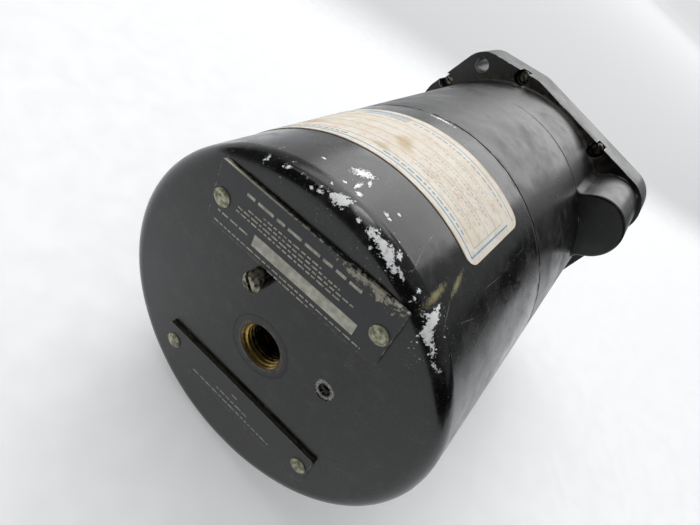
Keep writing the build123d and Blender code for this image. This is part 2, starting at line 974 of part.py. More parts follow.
def sector_gear():
    """Brass sector with involute teeth, two windows, a hub and a tail for its weight."""
    to_pinion = rocking_angle + 180
    plate = gear_sector(sector_circle_teeth, sector_teeth, to_pinion, sector_hub_radius)
    tail = Rectangle(counterweight_reach, 2 * sector_web_half)
    tail = Pos(counterweight_reach / 2, 0) * tail
    tail += Pos(counterweight_reach, 0) * Circle(counterweight_radius)
    plate += Rot(Z=rocking_angle) * tail
    half_span = 180 * sector_teeth / sector_circle_teeth
    rim_inner = sector_pitch_radius - sector_rim
    for side in (-1, 1):
        window = Circle(rim_inner) - Circle(sector_hub_radius + sector_rim)
        spread = [to_pinion + side * sector_web_half_angle]
        spread.append(to_pinion + side * half_span / 2)
        spread.append(to_pinion + side * (half_span - sector_web_half_angle))
        rays = [polar(2 * rim_inner, angle) for angle in spread]
        plate -= window & make_face(Polyline((0, 0), *rays, close=True))
    solid = slab(plate, sector_front, sector_front + sector_thick)
    solid = Pos(rocking_place[0], 0, rocking_place[1]) * solid
    solid += rod(sector_hub_radius, sector_hub_front, sector_hub_rear, rocking_place)
    return solid - rod(rocking_radius, sector_hub_front, sector_hub_rear, rocking_place)


def counterweight():
    """Brass weight riveted to the sector's tail."""
    reach = polar(counterweight_reach, rocking_angle)
    place = (rocking_place[0] + reach[0], rocking_place[1] + reach[1])
    front = sector_front + sector_thick
    return rod(counterweight_radius, front, front + counterweight_thick, place)


def rocking_arm():
    """Arm with a pin that the capsule's link turns on."""
    shaft_x, shaft_z = rocking_place
    rear = arm_front + arm_thick
    arm = slab(
        hull_of([(shaft_x, shaft_z, arm_hub_radius), (link_x, shaft_z, arm_tip_radius)]),
        arm_front,
        rear,
    )
    arm += rod(arm_hub_radius, arm_hub_front, rear, rocking_place)
    arm += rod(arm_pin_radius, rear, rear + arm_pin_length, (link_x, shaft_z))
    return arm - rod(rocking_radius, arm_hub_front, rear, rocking_place)


def link():
    """Flat link with a slotted eye that lets the arm swing sideways."""
    top = rocking_place[1]
    front = capsule_y - link_thick / 2
    rear = capsule_y + link_thick / 2
    strip_height = top - link_low_z
    strip = Pos(link_x, link_low_z + strip_height / 2) * Rectangle(link_width, strip_height)
    eye = Pos(link_x, top) * Circle(link_eye_radius)
    slot_half = arm_pin_radius + link_slot_play
    slot = Pos(link_x, top) * SlotCenterToCenter(2 * link_slot_reach, 2 * slot_half)
    rivet = Pos(link_x, link_rivet_z) * Circle(link_rivet_radius)
    return slab(strip + eye - slot - rivet, front, rear)


def link_rivet():
    """Rivet through the capsule's stud and the link."""
    return rod(
        link_rivet_radius, capsule_y - stud_radius, capsule_y + stud_radius, (link_x, link_rivet_z)
    )


def hairspring():
    """Flat spiral made of half turns that grow by half a pitch each."""
    outer_path = []
    inner_path = []
    start = collet_radius + hairspring_gap
    for half_turn in range(hairspring_half_turns):
        radius = start + hairspring_pitch * (half_turn + 0.5) / 2
        middle = hairspring_pitch / 4 * (1 if half_turn % 2 == 0 else -1)
        side = 1 if half_turn % 2 == 0 else -1
        for path, r in ((inner_path, radius), (outer_path, radius + hairspring_thick)):
            path.append(
                ThreePointArc((-side * r + middle, 0), (middle, side * r), (side * r + middle, 0))
            )
    inner_start = inner_path[0] @ 0
    outer_start = outer_path[0] @ 0
    inner_end = inner_path[-1] @ 1
    outer_end = outer_path[-1] @ 1
    ends = [Line(inner_start, outer_start), Line(inner_end, outer_end)]
    strip = make_face(inner_path + outer_path + ends)
    front = collet_front + (collet_length - hairspring_width) / 2
    return slab(strip, front, front + hairspring_width)


def plain_screw(place, seat, depth, turn=0):
    """Small frame screw that enters towards the front from its seat."""
    return slotted_screw(
        place,
        seat,
        seat - depth,
        frame_screw_radius,
        frame_screw_head_radius,
        frame_screw_head_height,
        turn,
    )


def front_screw_places():
    reach = front_plate_radius - front_screw_inset
    return [polar(reach, angle) for angle in front_screw_angles]


def front_plate():
    """Round plate that seats on the case's ledge."""
    plate = rod(front_plate_radius, front_plate_front, front_plate_rear)
    for place in front_screw_places():
        plate -= rod(frame_screw_radius, front_plate_front, front_plate_rear, place)
    bushes = [
        ((0, 0), staff_front_journal),
        (rocking_place, rocking_journal),
        (eccentric_place, eccentric_radius),
    ]
    for place, journal in bushes:
        outer = journal + journal_play + bush_wall
        plate -= rod(outer, front_plate_front, front_plate_rear, place)
    return plate


def middle_plate():
    """Round plate behind the train, with room for the rocking shaft to pass."""
    plate = rod(middle_plate_radius, middle_plate_front, middle_plate_rear)
    bushes = [((0, 0), staff_rear_journal), (eccentric_place, eccentric_radius)]
    for place, journal in bushes:
        outer = journal + journal_play + bush_wall
        plate -= rod(outer, middle_plate_front, middle_plate_rear, place)
    plate -= rod(2 * rocking_radius, middle_plate_front, middle_plate_rear, rocking_place)
    for place in pillar_places:
        plate -= rod(frame_screw_radius, middle_plate_front, middle_plate_rear, place)
    for x in (-bracket_screw_x, bracket_screw_x):
        place = (x, bracket_screw_z)
        plate -= rod(frame_screw_radius, middle_plate_front, middle_plate_rear, place)
    return plate


def plate_pillars():
    """Pillars between the front and middle plates, drilled for the plate screws."""
    pillars = []
    for place in pillar_places:
        pillar = rod(pillar_radius, front_plate_rear, middle_plate_front, place)
        drill_front = middle_plate_front - pillar_screw_depth
        pillars.append(pillar - rod(frame_screw_radius, drill_front, middle_plate_front, place))
    return group(pillars)


def rear_bridge():
    """Bridge that carries the rocking shaft's rear bush on the three posts."""
    discs = [(x, z, bridge_ear_radius) for x, z in post_places]
    discs.append((rocking_place[0], rocking_place[1], bridge_ear_radius))
    plate = slab(hull_of(discs), bridge_front, bridge_rear)
    outer = rocking_journal + journal_play + bush_wall
    return plate - rod(outer, bridge_front, bridge_rear, rocking_place)


def posts(front, rear, drilled):
    """Three round posts, drilled at the rear end for the screws that enter there."""
    solids = []
    for place, bore in zip(post_places, drilled):
        post = rod(post_radius, front, rear, place)
        if bore:
            post -= rod(bore, rear - post_drill_depth, rear, place)
        solids.append(post)
    return group(solids)


def capsule_skin_line(height, rim, centre):
    """Points of one corrugated skin, from the rim in to the flat centre."""
    points = [(capsule_radius, rim)]
    rim_end = capsule_radius - capsule_rim_width
    steps = 2 * capsule_waves + 1
    for step in range(1, steps + 1):
        share = step / steps
        radius = rim_end - (rim_end - centre) * share
        ripple = capsule_ripple * (1 if step % 2 else -1)
        if step == steps:
            ripple = 0
        rise = rim + (height - rim) * sqrt(share)
        points.append((radius, rise + ripple))
    points[-1] = (centre, height)
    return points


def capsule():
    """Two corrugated skins brazed at their rim, hollow, on a vertical axis."""
    outer = capsule_skin_line(capsule_half_height, capsule_rim_half, capsule_centre_radius)
    inner = [(r - capsule_skin, h - capsule_skin) for r, h in outer]
    top = [(0, capsule_half_height)] + outer[::-1]
    bottom = [(r, -h) for r, h in outer] + [(0, -capsule_half_height)]
    core_top = [(0, capsule_half_height - capsule_skin)] + inner[::-1]
    core_bottom = [(r, -h) for r, h in inner] + [(0, -capsule_half_height + capsule_skin)]
    shell = upright_turned(top + bottom) - upright_turned(core_top + core_bottom)
    inlet = upright_rod(foot_bore_radius, capsule_bottom_z - 1, capsule_mid_z, capsule_y)
    return Pos(0, capsule_y, capsule_mid_z) * shell - inlet


def upright_turned(points):
    """Solid of revolution about Z, from (radius, height) points."""
    half = make_face(Plane.XZ * Polyline(*points, close=True))
    return revolve(half, Axis.Z)


def capsule_stud():
    """Stud brazed on the capsule's top, forked for the link."""
    top = capsule_top_z + stud_flange_thick + stud_height
    stud = upright_turned(
        [
            (0, capsule_top_z),
            (stud_flange_radius, capsule_top_z),
            (stud_flange_radius, capsule_top_z + stud_flange_thick),
            (stud_radius, capsule_top_z + stud_flange_thick),
            (stud_radius, top),
            (0, top),
        ]
    )
    stud = Pos(link_x, capsule_y, 0) * stud
    fork = extrude(Rectangle(4 * stud_radius, link_thick), amount=stud_height)
    stud -= Pos(link_x, capsule_y, link_low_z) * fork
    front = capsule_y - stud_radius
    rear = capsule_y + stud_radius
    return stud - rod(link_rivet_radius, front, rear, (link_x, link_rivet_z))


def capsule_foot():
    """Hollow foot brazed under the capsule, with the shank that its nut holds."""
    flange_low = capsule_bottom_z - foot_flange_thick
    foot = upright_turned(
        [
            (foot_bore_radius, capsule_bottom_z),
            (foot_flange_radius, capsule_bottom_z),
            (foot_flange_radius, bracket_top_z),
            (foot_shank_radius, bracket_top_z),
            (foot_shank_radius, foot_low_z),
            (tube_radius, foot_low_z),
            (tube_radius, foot_low_z + tube_seat),
            (foot_bore_radius, foot_low_z + tube_seat),
        ]
    )
    return Pos(0, capsule_y, 0) * foot


def capsule_nut():
    """Hexagon nut under the bracket."""
    hexagon = RegularPolygon(nut_across_flats / 2, 6, major_radius=False)
    nut = extrude(hexagon - Circle(foot_shank_radius), amount=nut_thick)
    return Pos(0, capsule_y, bracket_low_z - nut_thick) * nut


def capsule_bracket():
    """Bent bracket: floor under the capsule, upright on the plate, zero-setting tongue."""
    upright_rear = middle_plate_rear + bracket_thick
    wing_rear = tongue_front + tongue_thick
    floor = make_hull(
        [
            *(Pos(0, capsule_y) * Circle(bracket_end_radius)).edges(),
            *Polyline(
                (-bracket_half_width, middle_plate_rear), (bracket_half_width, middle_plate_rear)
            ).edges(),
        ]
    )
    wing_width = -tongue_left
    wing = Pos(tongue_left + wing_width / 2, (upright_rear + wing_rear) / 2) * Rectangle(
        wing_width, wing_rear - upright_rear
    )
    bracket = Pos(0, 0, bracket_low_z) * extrude(floor + wing, amount=bracket_thick)
    bracket -= upright_rod(foot_shank_radius, bracket_low_z, bracket_top_z, capsule_y)
    upright_top = bracket_low_z + bracket_upright_height
    upright = Pos(0, (bracket_low_z + upright_top) / 2) * Rectangle(
        2 * bracket_half_width, bracket_upright_height
    )
    bracket += slab(upright, middle_plate_rear, upright_rear)
    for x in (-bracket_screw_x, bracket_screw_x):
        bracket -= rod(frame_screw_radius, middle_plate_rear, upright_rear, (x, bracket_screw_z))
    tip_z = eccentric_place[1] - eccentric_offset - eccentric_disc_radius - tongue_gap
    stem_height = tip_z - bracket_low_z
    stem = Pos(tongue_left + tongue_width / 2, bracket_low_z + stem_height / 2) * Rectangle(
        tongue_width, stem_height
    )
    foot = Pos(tongue_left + tongue_foot_width / 2, tip_z - tongue_foot_height / 2) * Rectangle(
        tongue_foot_width, tongue_foot_height
    )
    return bracket + slab(stem + foot, tongue_front, wing_rear)


def bracket_screws():
    """Screws that hold the bracket's upright to the middle plate."""
    seat = middle_plate_rear + bracket_thick
    depth = bracket_thick + middle_plate_thick
    places = [(x, bracket_screw_z) for x in (-bracket_screw_x, bracket_screw_x)]
    return group([plain_screw(place, seat, depth, 30 * place[0]) for place in places])


def hairspring_collet():
    """Brass collet that carries the hairspring's inner end."""
    return ring(staff_radius, collet_radius, collet_front, collet_front + collet_length)


def hairspring_stud():
    """Stud on the front plate for the hairspring's outer end."""
    turns = (hairspring_half_turns - 0.5) / 2
    end_x = collet_radius + hairspring_gap + hairspring_pitch * turns + hairspring_pitch / 4
    reach = end_x + hairspring_thick + hairspring_stud_radius + hairspring_stud_gap
    rear = collet_front + collet_length
    return rod(hairspring_stud_radius, front_plate_rear, rear, (reach, 0))


def rear_cover_screw():
    """The one slotted screw that is left in the rear face."""
    return slotted_screw(
        post_a,
        case_length - rear_seat_depth,
        case_length - rear_seat_depth - rear_screw_length,
        rear_screw_radius,
        rear_head_radius,
        rear_head_height,
        rear_slot_turn,
    )


def block_screw():
    """Sunk screw that holds the block to the third post."""
    seat = cover_inner_y - frame_screw_head_height
    return slotted_screw(
        third_post,
        seat,
        seat - block_thick - 1,
        frame_screw_radius,
        frame_screw_head_radius,
        frame_screw_head_height,
    )


def zero_adjust_screw():
    """Slotted adjusting screw that runs from the bezel into the lobe."""
    head_front = bezel_front + adjust_well_depth - adjust_head_gap - adjust_head_height
    head_rear = head_front + adjust_head_height
    step = cavity_front + collar_gap
    cavity_end = lobe_length - lobe_end_wall
    screw = turned(
        [
            (0, head_front),
            (adjust_head_radius, head_front),
            (adjust_head_radius, head_rear),
            (adjust_shaft_radius, head_rear),
            (adjust_shaft_radius, step),
            (adjust_thin_radius, step),
            (adjust_thin_radius, cavity_end - end_play),
            (adjust_tip_radius, cavity_end - end_play),
            (adjust_tip_radius, cavity_end + adjust_tip_length),
            (0, cavity_end + adjust_tip_length),
        ],
        adjust_place,
    )
    slot = Rot(Z=adjust_slot_turn) * Rectangle(3 * adjust_head_radius, adjust_slot_width)
    return screw - slab(Pos(*adjust_place) * slot, bezel_front, head_front + adjust_slot_depth)


def adjust_pinion():
    """Pinion on the adjusting screw, in mesh with the adjusting sector."""
    gap_turn = lobe_angle + 180 + 180 / pinion_leaves
    leaves = Pos(*adjust_place) * full_gear(pinion_leaves, gap_turn)
    rear = adjust_pinion_front + adjust_pinion_length
    pinion = slab(leaves, adjust_pinion_front, rear)
    return pinion - rod(adjust_thin_radius, adjust_pinion_front, rear, adjust_place)


def adjust_collar():
    """Collar that keeps the adjusting screw from drawing out."""
    front = cavity_front + collar_gap
    return ring(adjust_thin_radius, collar_radius, front, front + collar_thick, adjust_place)


def adjust_sector():
    """Toothed sector on the eccentric shaft."""
    rear = adjust_sector_front + adjust_sector_thick
    outline = gear_sector(adjust_circle_teeth, adjust_teeth, lobe_angle, adjust_hub_radius)
    sector = slab(Pos(*eccentric_place) * outline, adjust_sector_front, rear)
    sector += rod(adjust_hub_radius, front_plate_rear + end_play, rear, eccentric_place)
    return sector - rod(eccentric_radius, front_plate_rear, rear, eccentric_place)


def eccentric_shaft():
    """Shaft through both plates with an eccentric disc over the bracket's tongue."""
    disc_rear = eccentric_disc_front + eccentric_disc_thick
    shaft = rod(eccentric_radius, front_plate_front, disc_rear, eccentric_place)
    disc_place = (eccentric_place[0], eccentric_place[1] - eccentric_offset)
    return shaft + rod(eccentric_disc_radius, eccentric_disc_front, disc_rear, disc_place)


def eccentric_bushes():
    """Brass bushes of the eccentric shaft in the front and middle plates."""
    bore = eccentric_radius + journal_play
    outer = bore + bush_wall
    return group(
        [
            ring(bore, outer, front_plate_front, front_plate_rear, eccentric_place),
            ring(bore, outer, middle_plate_front, middle_plate_rear, eccentric_place),
        ]
    )


def front_plate_screws():
    """Screws that hold the front plate to the case's ledge."""
    depth = front_plate_rear - ledge_front
    places = front_screw_places()
    return group([plain_screw(place, front_plate_rear, depth, place[0]) for place in places])


def plate_screws():
    """Screws that hold the middle plate to its pillars."""
    seat = middle_plate_rear
    depth = middle_plate_thick + plate_screw_depth
    return group([plain_screw(place, seat, depth, 2 * place[0]) for place in pillar_places])


nodes = {
    "front_case": front_case(),
    "rear_cover": rear_cover(),
    "seam_gasket": seam_gasket(),
    "port_bushing": port_bushing(),
    "port_screen": rod(port_screen_radius, screen_end, thread_end),
    "port_seal": seal(port_spigot_radius + seal_fit, cover_inner_y - seal_section),
    "rear_cover_screw": rear_cover_screw(),
    "name_plate": rear_plate(
        name_plate_width, name_plate_height, name_plate_z, name_plate_thick, name_rivet_places()
    ),
    "name_plate_rivets": rivets(name_rivet_places(), name_plate_thick),
    "lower_plate": rear_plate(
        lower_plate_width,
        lower_plate_height,
        lower_plate_z,
        lower_plate_thick,
        lower_rivet_places(),
    ),
    "lower_plate_rivets": rivets(lower_rivet_places(), lower_plate_thick),
    "paper_label": paper_label(),
    "bezel": bezel(),
    "bezel_screws": bezel_screws(),
    "cover_glass": rod(glass_radius, glass_front, glass_rear),
    "glass_gasket": glass_gasket(),
    "dial": dial(),
    "dial_posts": dial_posts(),
    "dial_screws": dial_screws(),
    "pointer": pointer(),
    "pointer_hub": pointer_hub(),
    "handstaff": handstaff(),
    "staff_bushes": staff_bushes(),
    "hairspring": hairspring(),
    "hairspring_collet": hairspring_collet(),
    "hairspring_stud": hairspring_stud(),
    "rocking_shaft": rocking_shaft(),
    "rocking_bushes": rocking_bushes(),
    "sector_gear": sector_gear(),
    "counterweight": counterweight(),
    "rocking_arm": rocking_arm(),
    "link": link(),
    "link_rivet": link_rivet(),
    "front_plate": front_plate(),
    "front_plate_screws": front_plate_screws(),
    "plate_pillars": plate_pillars(),
    "middle_plate": middle_plate(),
    "plate_screws": plate_screws(),
    "frame_posts": posts(middle_plate_rear, bridge_front, (0, 0, 0)),
    "rear_bridge": rear_bridge(),
    "long_posts": posts(
        bridge_rear, block_front, (rear_screw_radius, rear_screw_radius, frame_screw_radius)
    ),
    "rear_block": rear_block(),
    "block_screw": block_screw(),
    "capsule": capsule(),
    "capsule_stud": capsule_stud(),
    "capsule_foot": capsule_foot(),
    "capsule_nut": capsule_nut(),
    "capsule_bracket": capsule_bracket(),
    "bracket_screws": bracket_screws(),
    "static_tube": static_tube(),
    "leak_body": leak_body(),
    "leak_plug": leak_plug(),
    "zero_adjust_screw": zero_adjust_screw(),
    "adjust_pinion": adjust_pinion(),
    "adjust_collar": adjust_collar(),
    "adjust_seal": seal(adjust_shaft_radius + adjust_play, bezel_rear, adjust_place),
    "adjust_sector": adjust_sector(),
    "eccentric_shaft": eccentric_shaft(),
    "eccentric_bushes": eccentric_bushes(),
}

os.makedirs("parts", exist_ok=True)
for name, part in nodes.items():
    export_step(part, f"parts/{name}.step")
print(len(nodes), "nodes written")
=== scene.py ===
# %% [markdown]
# A vertical speed indicator tells a pilot how fast the aircraft climbs or sinks. This one is an old
# instrument with a cast case, seen from behind as it lies on a pale table. The solids come from the
# CAD model and keep their places. What is made here is what a solid can't say: enamel and its chips,
# worn print, a paper label, the thread of the pressure port and the marks on the dial.

import json
import math

import bmesh
import bpy
import numpy as np
from mathutils import Matrix, Vector


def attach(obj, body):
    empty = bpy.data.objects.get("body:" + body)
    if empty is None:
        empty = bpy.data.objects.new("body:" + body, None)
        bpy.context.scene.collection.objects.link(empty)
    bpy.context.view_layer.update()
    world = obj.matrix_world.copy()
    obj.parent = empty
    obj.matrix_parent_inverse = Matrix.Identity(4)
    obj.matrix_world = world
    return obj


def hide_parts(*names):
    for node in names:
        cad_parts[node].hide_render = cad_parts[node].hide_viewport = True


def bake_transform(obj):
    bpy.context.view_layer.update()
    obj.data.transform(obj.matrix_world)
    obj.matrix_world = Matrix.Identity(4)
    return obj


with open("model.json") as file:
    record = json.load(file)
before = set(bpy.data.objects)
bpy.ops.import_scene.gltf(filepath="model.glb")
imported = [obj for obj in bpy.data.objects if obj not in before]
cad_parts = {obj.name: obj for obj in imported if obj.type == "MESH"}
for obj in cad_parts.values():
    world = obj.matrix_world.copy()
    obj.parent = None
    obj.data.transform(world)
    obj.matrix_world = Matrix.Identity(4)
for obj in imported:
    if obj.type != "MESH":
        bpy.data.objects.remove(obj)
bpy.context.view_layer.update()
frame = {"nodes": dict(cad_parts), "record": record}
nodes = frame["nodes"]
rng = np.random.default_rng(8)
print("CAD nodes:", len(nodes))

# %% [markdown]
# The sizes below repeat the real object's, in millimetres: the radius of its barrel, where the rear
# face stands and how round the rear rim is. Patterns and print are placed from them, so a chip
# sits on the rim because it is worked out from the rim. The plates and the rear screws stand in a
# text frame, turned by 12.5 degrees from the frame of the dial.

# %% Sizes of the object in millimetres
MM = 0.001  # Blender works in metres
BARREL = 39.7  # radius of the barrel
REAR = 119.4  # the rear face
RIM = 3.8  # radius of the rounding between barrel and rear face
ARC_R, ARC_Y = BARREL - RIM, REAR - RIM  # centre of that rounding's arc
HALF_ARC = RIM * math.pi / 4  # from the middle of the rounding to either end of it
SEAM = 66.0  # the joint between front case and rear cover
TEXT_TURN = math.radians(12.5)
NAME_TOP, LOWER_TOP = 120.2, 120.3  # upper faces of the two plates
DIAL_FACE = -4.0
BUSH, MOUTH = 7.1, 5.1  # radius of the port's brass bush and of its mouth
CREST, ROOT = 4.38, 4.92  # radii of the port's thread
EMPTY_HOLE = (-14.45, REAR, 7.21)  # the place of the rear screw that is missing
PRESSED_RING = 1.85  # radius of the ring that its head has left
print("rounding's half length:", round(HALF_ARC, 2), "mm")

# %% [markdown]
# Blender's shaders expect linear colour, but colours are easier to choose as the sRGB hex values
# that a screen shows. One function turns one into the other. A second one adds any node to a
# material, with its settings and links. Values go to the node's sockets in order, so a step
# reads like a formula, and a whole finish stays short enough to follow.

# %% Colour and node helpers
MODE = {"Math": "operation", "VectorMath": "operation", "Mix": "data_type",
        "MapRange": "interpolation_type", "TexNoise": "noise_dimensions"}
# the kinds used most: RAMP rises smoothly from 0 to 1 between two values, LINE evenly; NOISE takes
# place, seed, scale, detail and roughness; MIX is for two colours, BLEND for two numbers
RAMP, LINE, NOISE = "MapRange.SMOOTHSTEP", "MapRange.LINEAR", "TexNoise.4D"
MIX, BLEND, LENGTH = "Mix.RGBA", "Mix.FLOAT", "VectorMath.LENGTH"
PLUS, MINUS, TIMES, TIMES_PLUS = "Math.ADD", "Math.SUBTRACT", "Math.MULTIPLY", "Math.MULTIPLY_ADD"
HIGHER, LOWER, SIZE = "Math.MAXIMUM", "Math.MINIMUM", "Math.ABSOLUTE"


def linear(code):
    """Linear RGBA of an sRGB hex colour: each channel is ((c + 0.055) / 1.055) to the power 2.4,
    or c / 12.92 where it is very dark."""
    c = np.array([int(code[i:i + 2], 16) for i in (1, 3, 5)]) / 255
    return (*np.where(c <= 0.04045, c / 12.92, ((c + 0.055) / 1.055) ** 2.4), 1.0)


def add(material, kind, *values, **named):
    """Adds one node. A kind such as Math.ADD also gives its main setting. values fill the sockets
    in use, in order. A name with a capital is a socket, any other a setting. A value is a number, a
    vector, a hex colour, a socket, or a node, whose first socket in use is taken."""
    kind, _, mode = kind.partition(".")
    node = material.node_tree.nodes.new("ShaderNode" + kind)
    if mode:
        setattr(node, MODE[kind], mode)
    for key, value in named.items():
        if not key[0].isupper():
            setattr(node, key, value)
    pairs = list(zip([s for s in node.inputs if s.enabled], values))
    pairs += [(node.inputs[k.replace("_", " ")], v) for k, v in named.items() if k[0].isupper()]
    for socket, value in pairs:
        if isinstance(value, bpy.types.Node):
            value = next(s for s in value.outputs if s.enabled)
        if isinstance(value, bpy.types.NodeSocket):
            material.node_tree.links.new(value, socket)
        else:
            socket.default_value = linear(value) if isinstance(value, str) else value
    return node


def new_material(name):
    """An empty material, and the piece's own place in millimetres for its patterns to read."""
    material = bpy.data.materials.new(name)
    material.use_nodes = True
    material.node_tree.nodes.clear()
    place = add(material, "TexCoord").outputs["Object"]
    return material, add(material, "VectorMath.SCALE", place, Scale=1 / MM)


def finish(material, relief=None, depth=0.0, **sockets):
    """Ends a material with its one shader, raised by relief times depth, in millimetres."""
    if relief is not None:
        sockets["Normal"] = add(material, "Bump", Height=relief, Distance=depth * MM)
    add(material, "OutputMaterial", add(material, "BsdfPrincipled", **sockets))
    return material


print("enamel black in linear light:", [round(v, 4) for v in linear("#151516")])

# %% [markdown]
# Most wear comes in patches with soft edges. A noise cut at two heights gives them: below the first
# there is nothing, above the second the patch is full. Edges rub through first, and a point
# is near one where the surface's true normal and one averaged over a small ball disagree.

# %% Patches and rubbed edges
def patches(m, place, size, low, high, seed, detail=4.0, rough=0.55, top=1.0):
    """Patches about size millimetres wide: noise that is 0 up to low and top from high on."""
    cloud = add(m, NOISE, place, seed, 1 / size, detail, rough)
    return add(m, RAMP, cloud, low, high, 0.0, top)


def rubbed_edges(m, radius, start, full):
    """1 at an edge and 0 on a flat: the dot product of the true normal and one averaged within
    radius millimetres falls from start to full."""
    soft = add(m, "Bevel", radius * MM, samples=4)
    true = add(m, "NewGeometry").outputs["Normal"]
    return add(m, RAMP, add(m, "VectorMath.DOT_PRODUCT", soft, true), start, full)


CASE_EDGE = 0.45, 0.985, 0.90  # radius, start and full for the enamel's edges
print("bare where the normals differ by", round(math.degrees(math.acos(CASE_EDGE[2]))), "degrees")

# %% [markdown]
# The case is cast aluminium under black enamel, knocked for decades along its rear rim. A flat
# picture could carry such chips, but it would stretch over the rounding. Instead each point of
# the surface gets a pair of numbers, as on a map: its angle round the barrel, and how many
# millimetres it lies across the rim. On the barrel that second number is negative, and on the
# rear face it is positive. Chips are then drawn on the map, and they wrap the rim as real ones do.

# %% A map of the rim
def polar(m, place):
    """The point's x, y and z, its distance from the barrel's axis, and its angle in degrees."""
    part = add(m, "SeparateXYZ", place).outputs
    radius = add(m, LENGTH, add(m, "VectorMath.MULTIPLY", place, (1, 0, 1)))
    return part, radius, add(m, "Math.DEGREES", add(m, "Math.ARCTAN2", part[2], part[0]))


def across_rim(m, y, radius):
    """The way across the rim in millimetres: the rounding's radius times the angle on its arc,
    counted from its middle, less what the point is in front of the arc, plus what it is inside."""
    out = add(m, MINUS, radius, ARC_R)
    back = add(m, MINUS, y, ARC_Y)
    turn = add(m, HIGHER, add(m, "Math.ARCTAN2", back, out), 0.0)
    turn = add(m, LOWER, turn, math.pi / 2)
    across = add(m, TIMES_PLUS, turn, RIM, -HALF_ARC)
    across = add(m, PLUS, across, add(m, LOWER, back, 0.0))
    return add(m, MINUS, across, add(m, LOWER, out, 0.0))


def along_rim(m, angle, points):
    """A value that follows the angle in straight runs, through points of (degrees, value)."""
    degrees, values = np.array(points).T
    places = np.interp(degrees, degrees[[0, -1]], [0, 1])
    heights = (values - values.min()) / np.ptp(values)
    share = add(m, LINE, angle, degrees[0], degrees[-1])
    curve = add(m, "FloatCurve", Value=share)
    knots = curve.mapping.curves[0].points
    knots[0].location, knots[1].location = (places[0], heights[0]), (places[-1], heights[-1])
    for spot in zip(places[1:-1], heights[1:-1]):
        knots.new(*spot)
    for knot in knots:
        knot.handle_type = "VECTOR"
    curve.mapping.update()
    return add(m, LINE, curve, 0.0, 1.0, values.min(), values.max())


def blots(m, chart, spots):
    """The highest of several oval marks, each 1 at its middle and 0 at its edge: 1 less the
    length of the point's place, measured from the middle in half lengths and half widths."""
    highest = -9.0
    for degrees, across, half_long, half_wide, turn in spots:
        own = add(m, "Mapping", chart, (math.radians(degrees) * BARREL, across, 0),
                  (0, 0, math.radians(turn)), (half_long, half_wide, 1), vector_type="TEXTURE")
        here = add(m, MINUS, 1.0, add(m, LENGTH, own))
        highest = add(m, HIGHER, here, highest)
    return highest


# degrees, middle of the bare band across the rim, its half width; below 0 nothing is bare
RIM_CHIPS = [(54, 0.5, -1.2), (56.2, 0.5, 0.6), (57.3, -0.5, 1.0), (58.6, 0.0, -0.5),
             (61.6, 0.2, -0.3), (62.6, 0.2, 0.55), (64.0, -0.3, 0.5), (65.2, -0.3, -0.3),
             (67.0, -0.3, 0.1), (76.0, -0.3, 0.25), (77.2, -0.2, 1.1), (80.0, -0.4, 1.5),
             (81.8, -1.0, 1.1), (83.0, -0.9, -0.1), (88.0, -0.3, 0.1), (89.2, -0.1, 1.0),
             (91.5, -0.5, 1.2), (94.2, -0.5, 1.3), (96.4, -0.3, 1.5), (98.6, 0.5, 1.0),
             (101.0, 0.0, 0.8), (103.4, 0.2, 0.1), (106.6, 0.0, 0.1), (107.6, -0.1, 0.7),
             (109.2, -0.2, -0.2), (111.6, -0.4, 0.7), (113.2, -2.0, 1.9), (114.6, -1.2, 2.0),
             (116.0, 0.3, 1.6), (118.4, 0.2, 1.0), (121.0, 0.0, 0.7), (122.8, 0.9, 0.5),
             (126.2, 0.0, 0.6), (128.5, 0.0, -1.2)]
# degrees, millimetres across, half length, half width, turn in degrees
SCUFFS = [(76.2, -9.5, 2.9, 1.7, -45), (78.7, -5.7, 2.2, 0.5, 85), (79.6, -8.3, 1.6, 0.5, 62),
          (80.9, -3.8, 0.8, 0.7, 0), (88.4, -5.2, 0.7, 0.55, 20), (89.9, -7.8, 0.6, 0.5, 0),
          (89.7, -5.0, 0.5, 0.45, 0), (66.9, -6.7, 0.7, 0.35, 0), (74.9, -1.7, 0.4, 0.35, 0),
          (76.3, -4.0, 0.6, 0.5, 0), (72.0, 0.9, 0.5, 0.4, 0), (74.2, 0.6, 0.8, 0.5, 0),
          (92.4, 1.5, 0.5, 0.45, 0), (85.9, 0.1, 0.6, 0.5, 0), (106.6, -1.3, 0.55, 0.5, 0),
          (68.7, -51.2, 4.8, 0.6, 2), (97.6, -1.6, 1.0, 0.6, 30), (112.6, -3.4, 1.6, 0.5, 78)]
SCRATCHES = [(101.0, -4.6, 5.0, 0.22, 72), (98.7, -11.2, 3.6, 0.2, 82),
             (115.2, -5.5, 5.5, 0.25, 58), (121.0, -11.0, 6.0, 0.2, 108),
             (119.0, -24.0, 7.0, 0.2, 95), (128.0, -16.0, 6.0, 0.2, 80)]
STREAKS = [(109.8, -4.6, 5.4, 1.0, 86), (111.6, -11.4, 4.2, 0.8, 74)]
RUBBED = [(85.9, -1.0, 3.0, 0.85, 0), (71.5, -0.3, 4.8, 0.25, 0)]
print("bare places on the rim:", len(RIM_CHIPS), " scuffs:", len(SCUFFS))

# %% [markdown]
# The chips themselves are the sum of three things: how far a point lies inside the bare band, a
# coarse noise that makes the band ragged, and a fine one that breaks its edge into crumbs.
# Scuffs on the barrel are ovals broken up the same way.

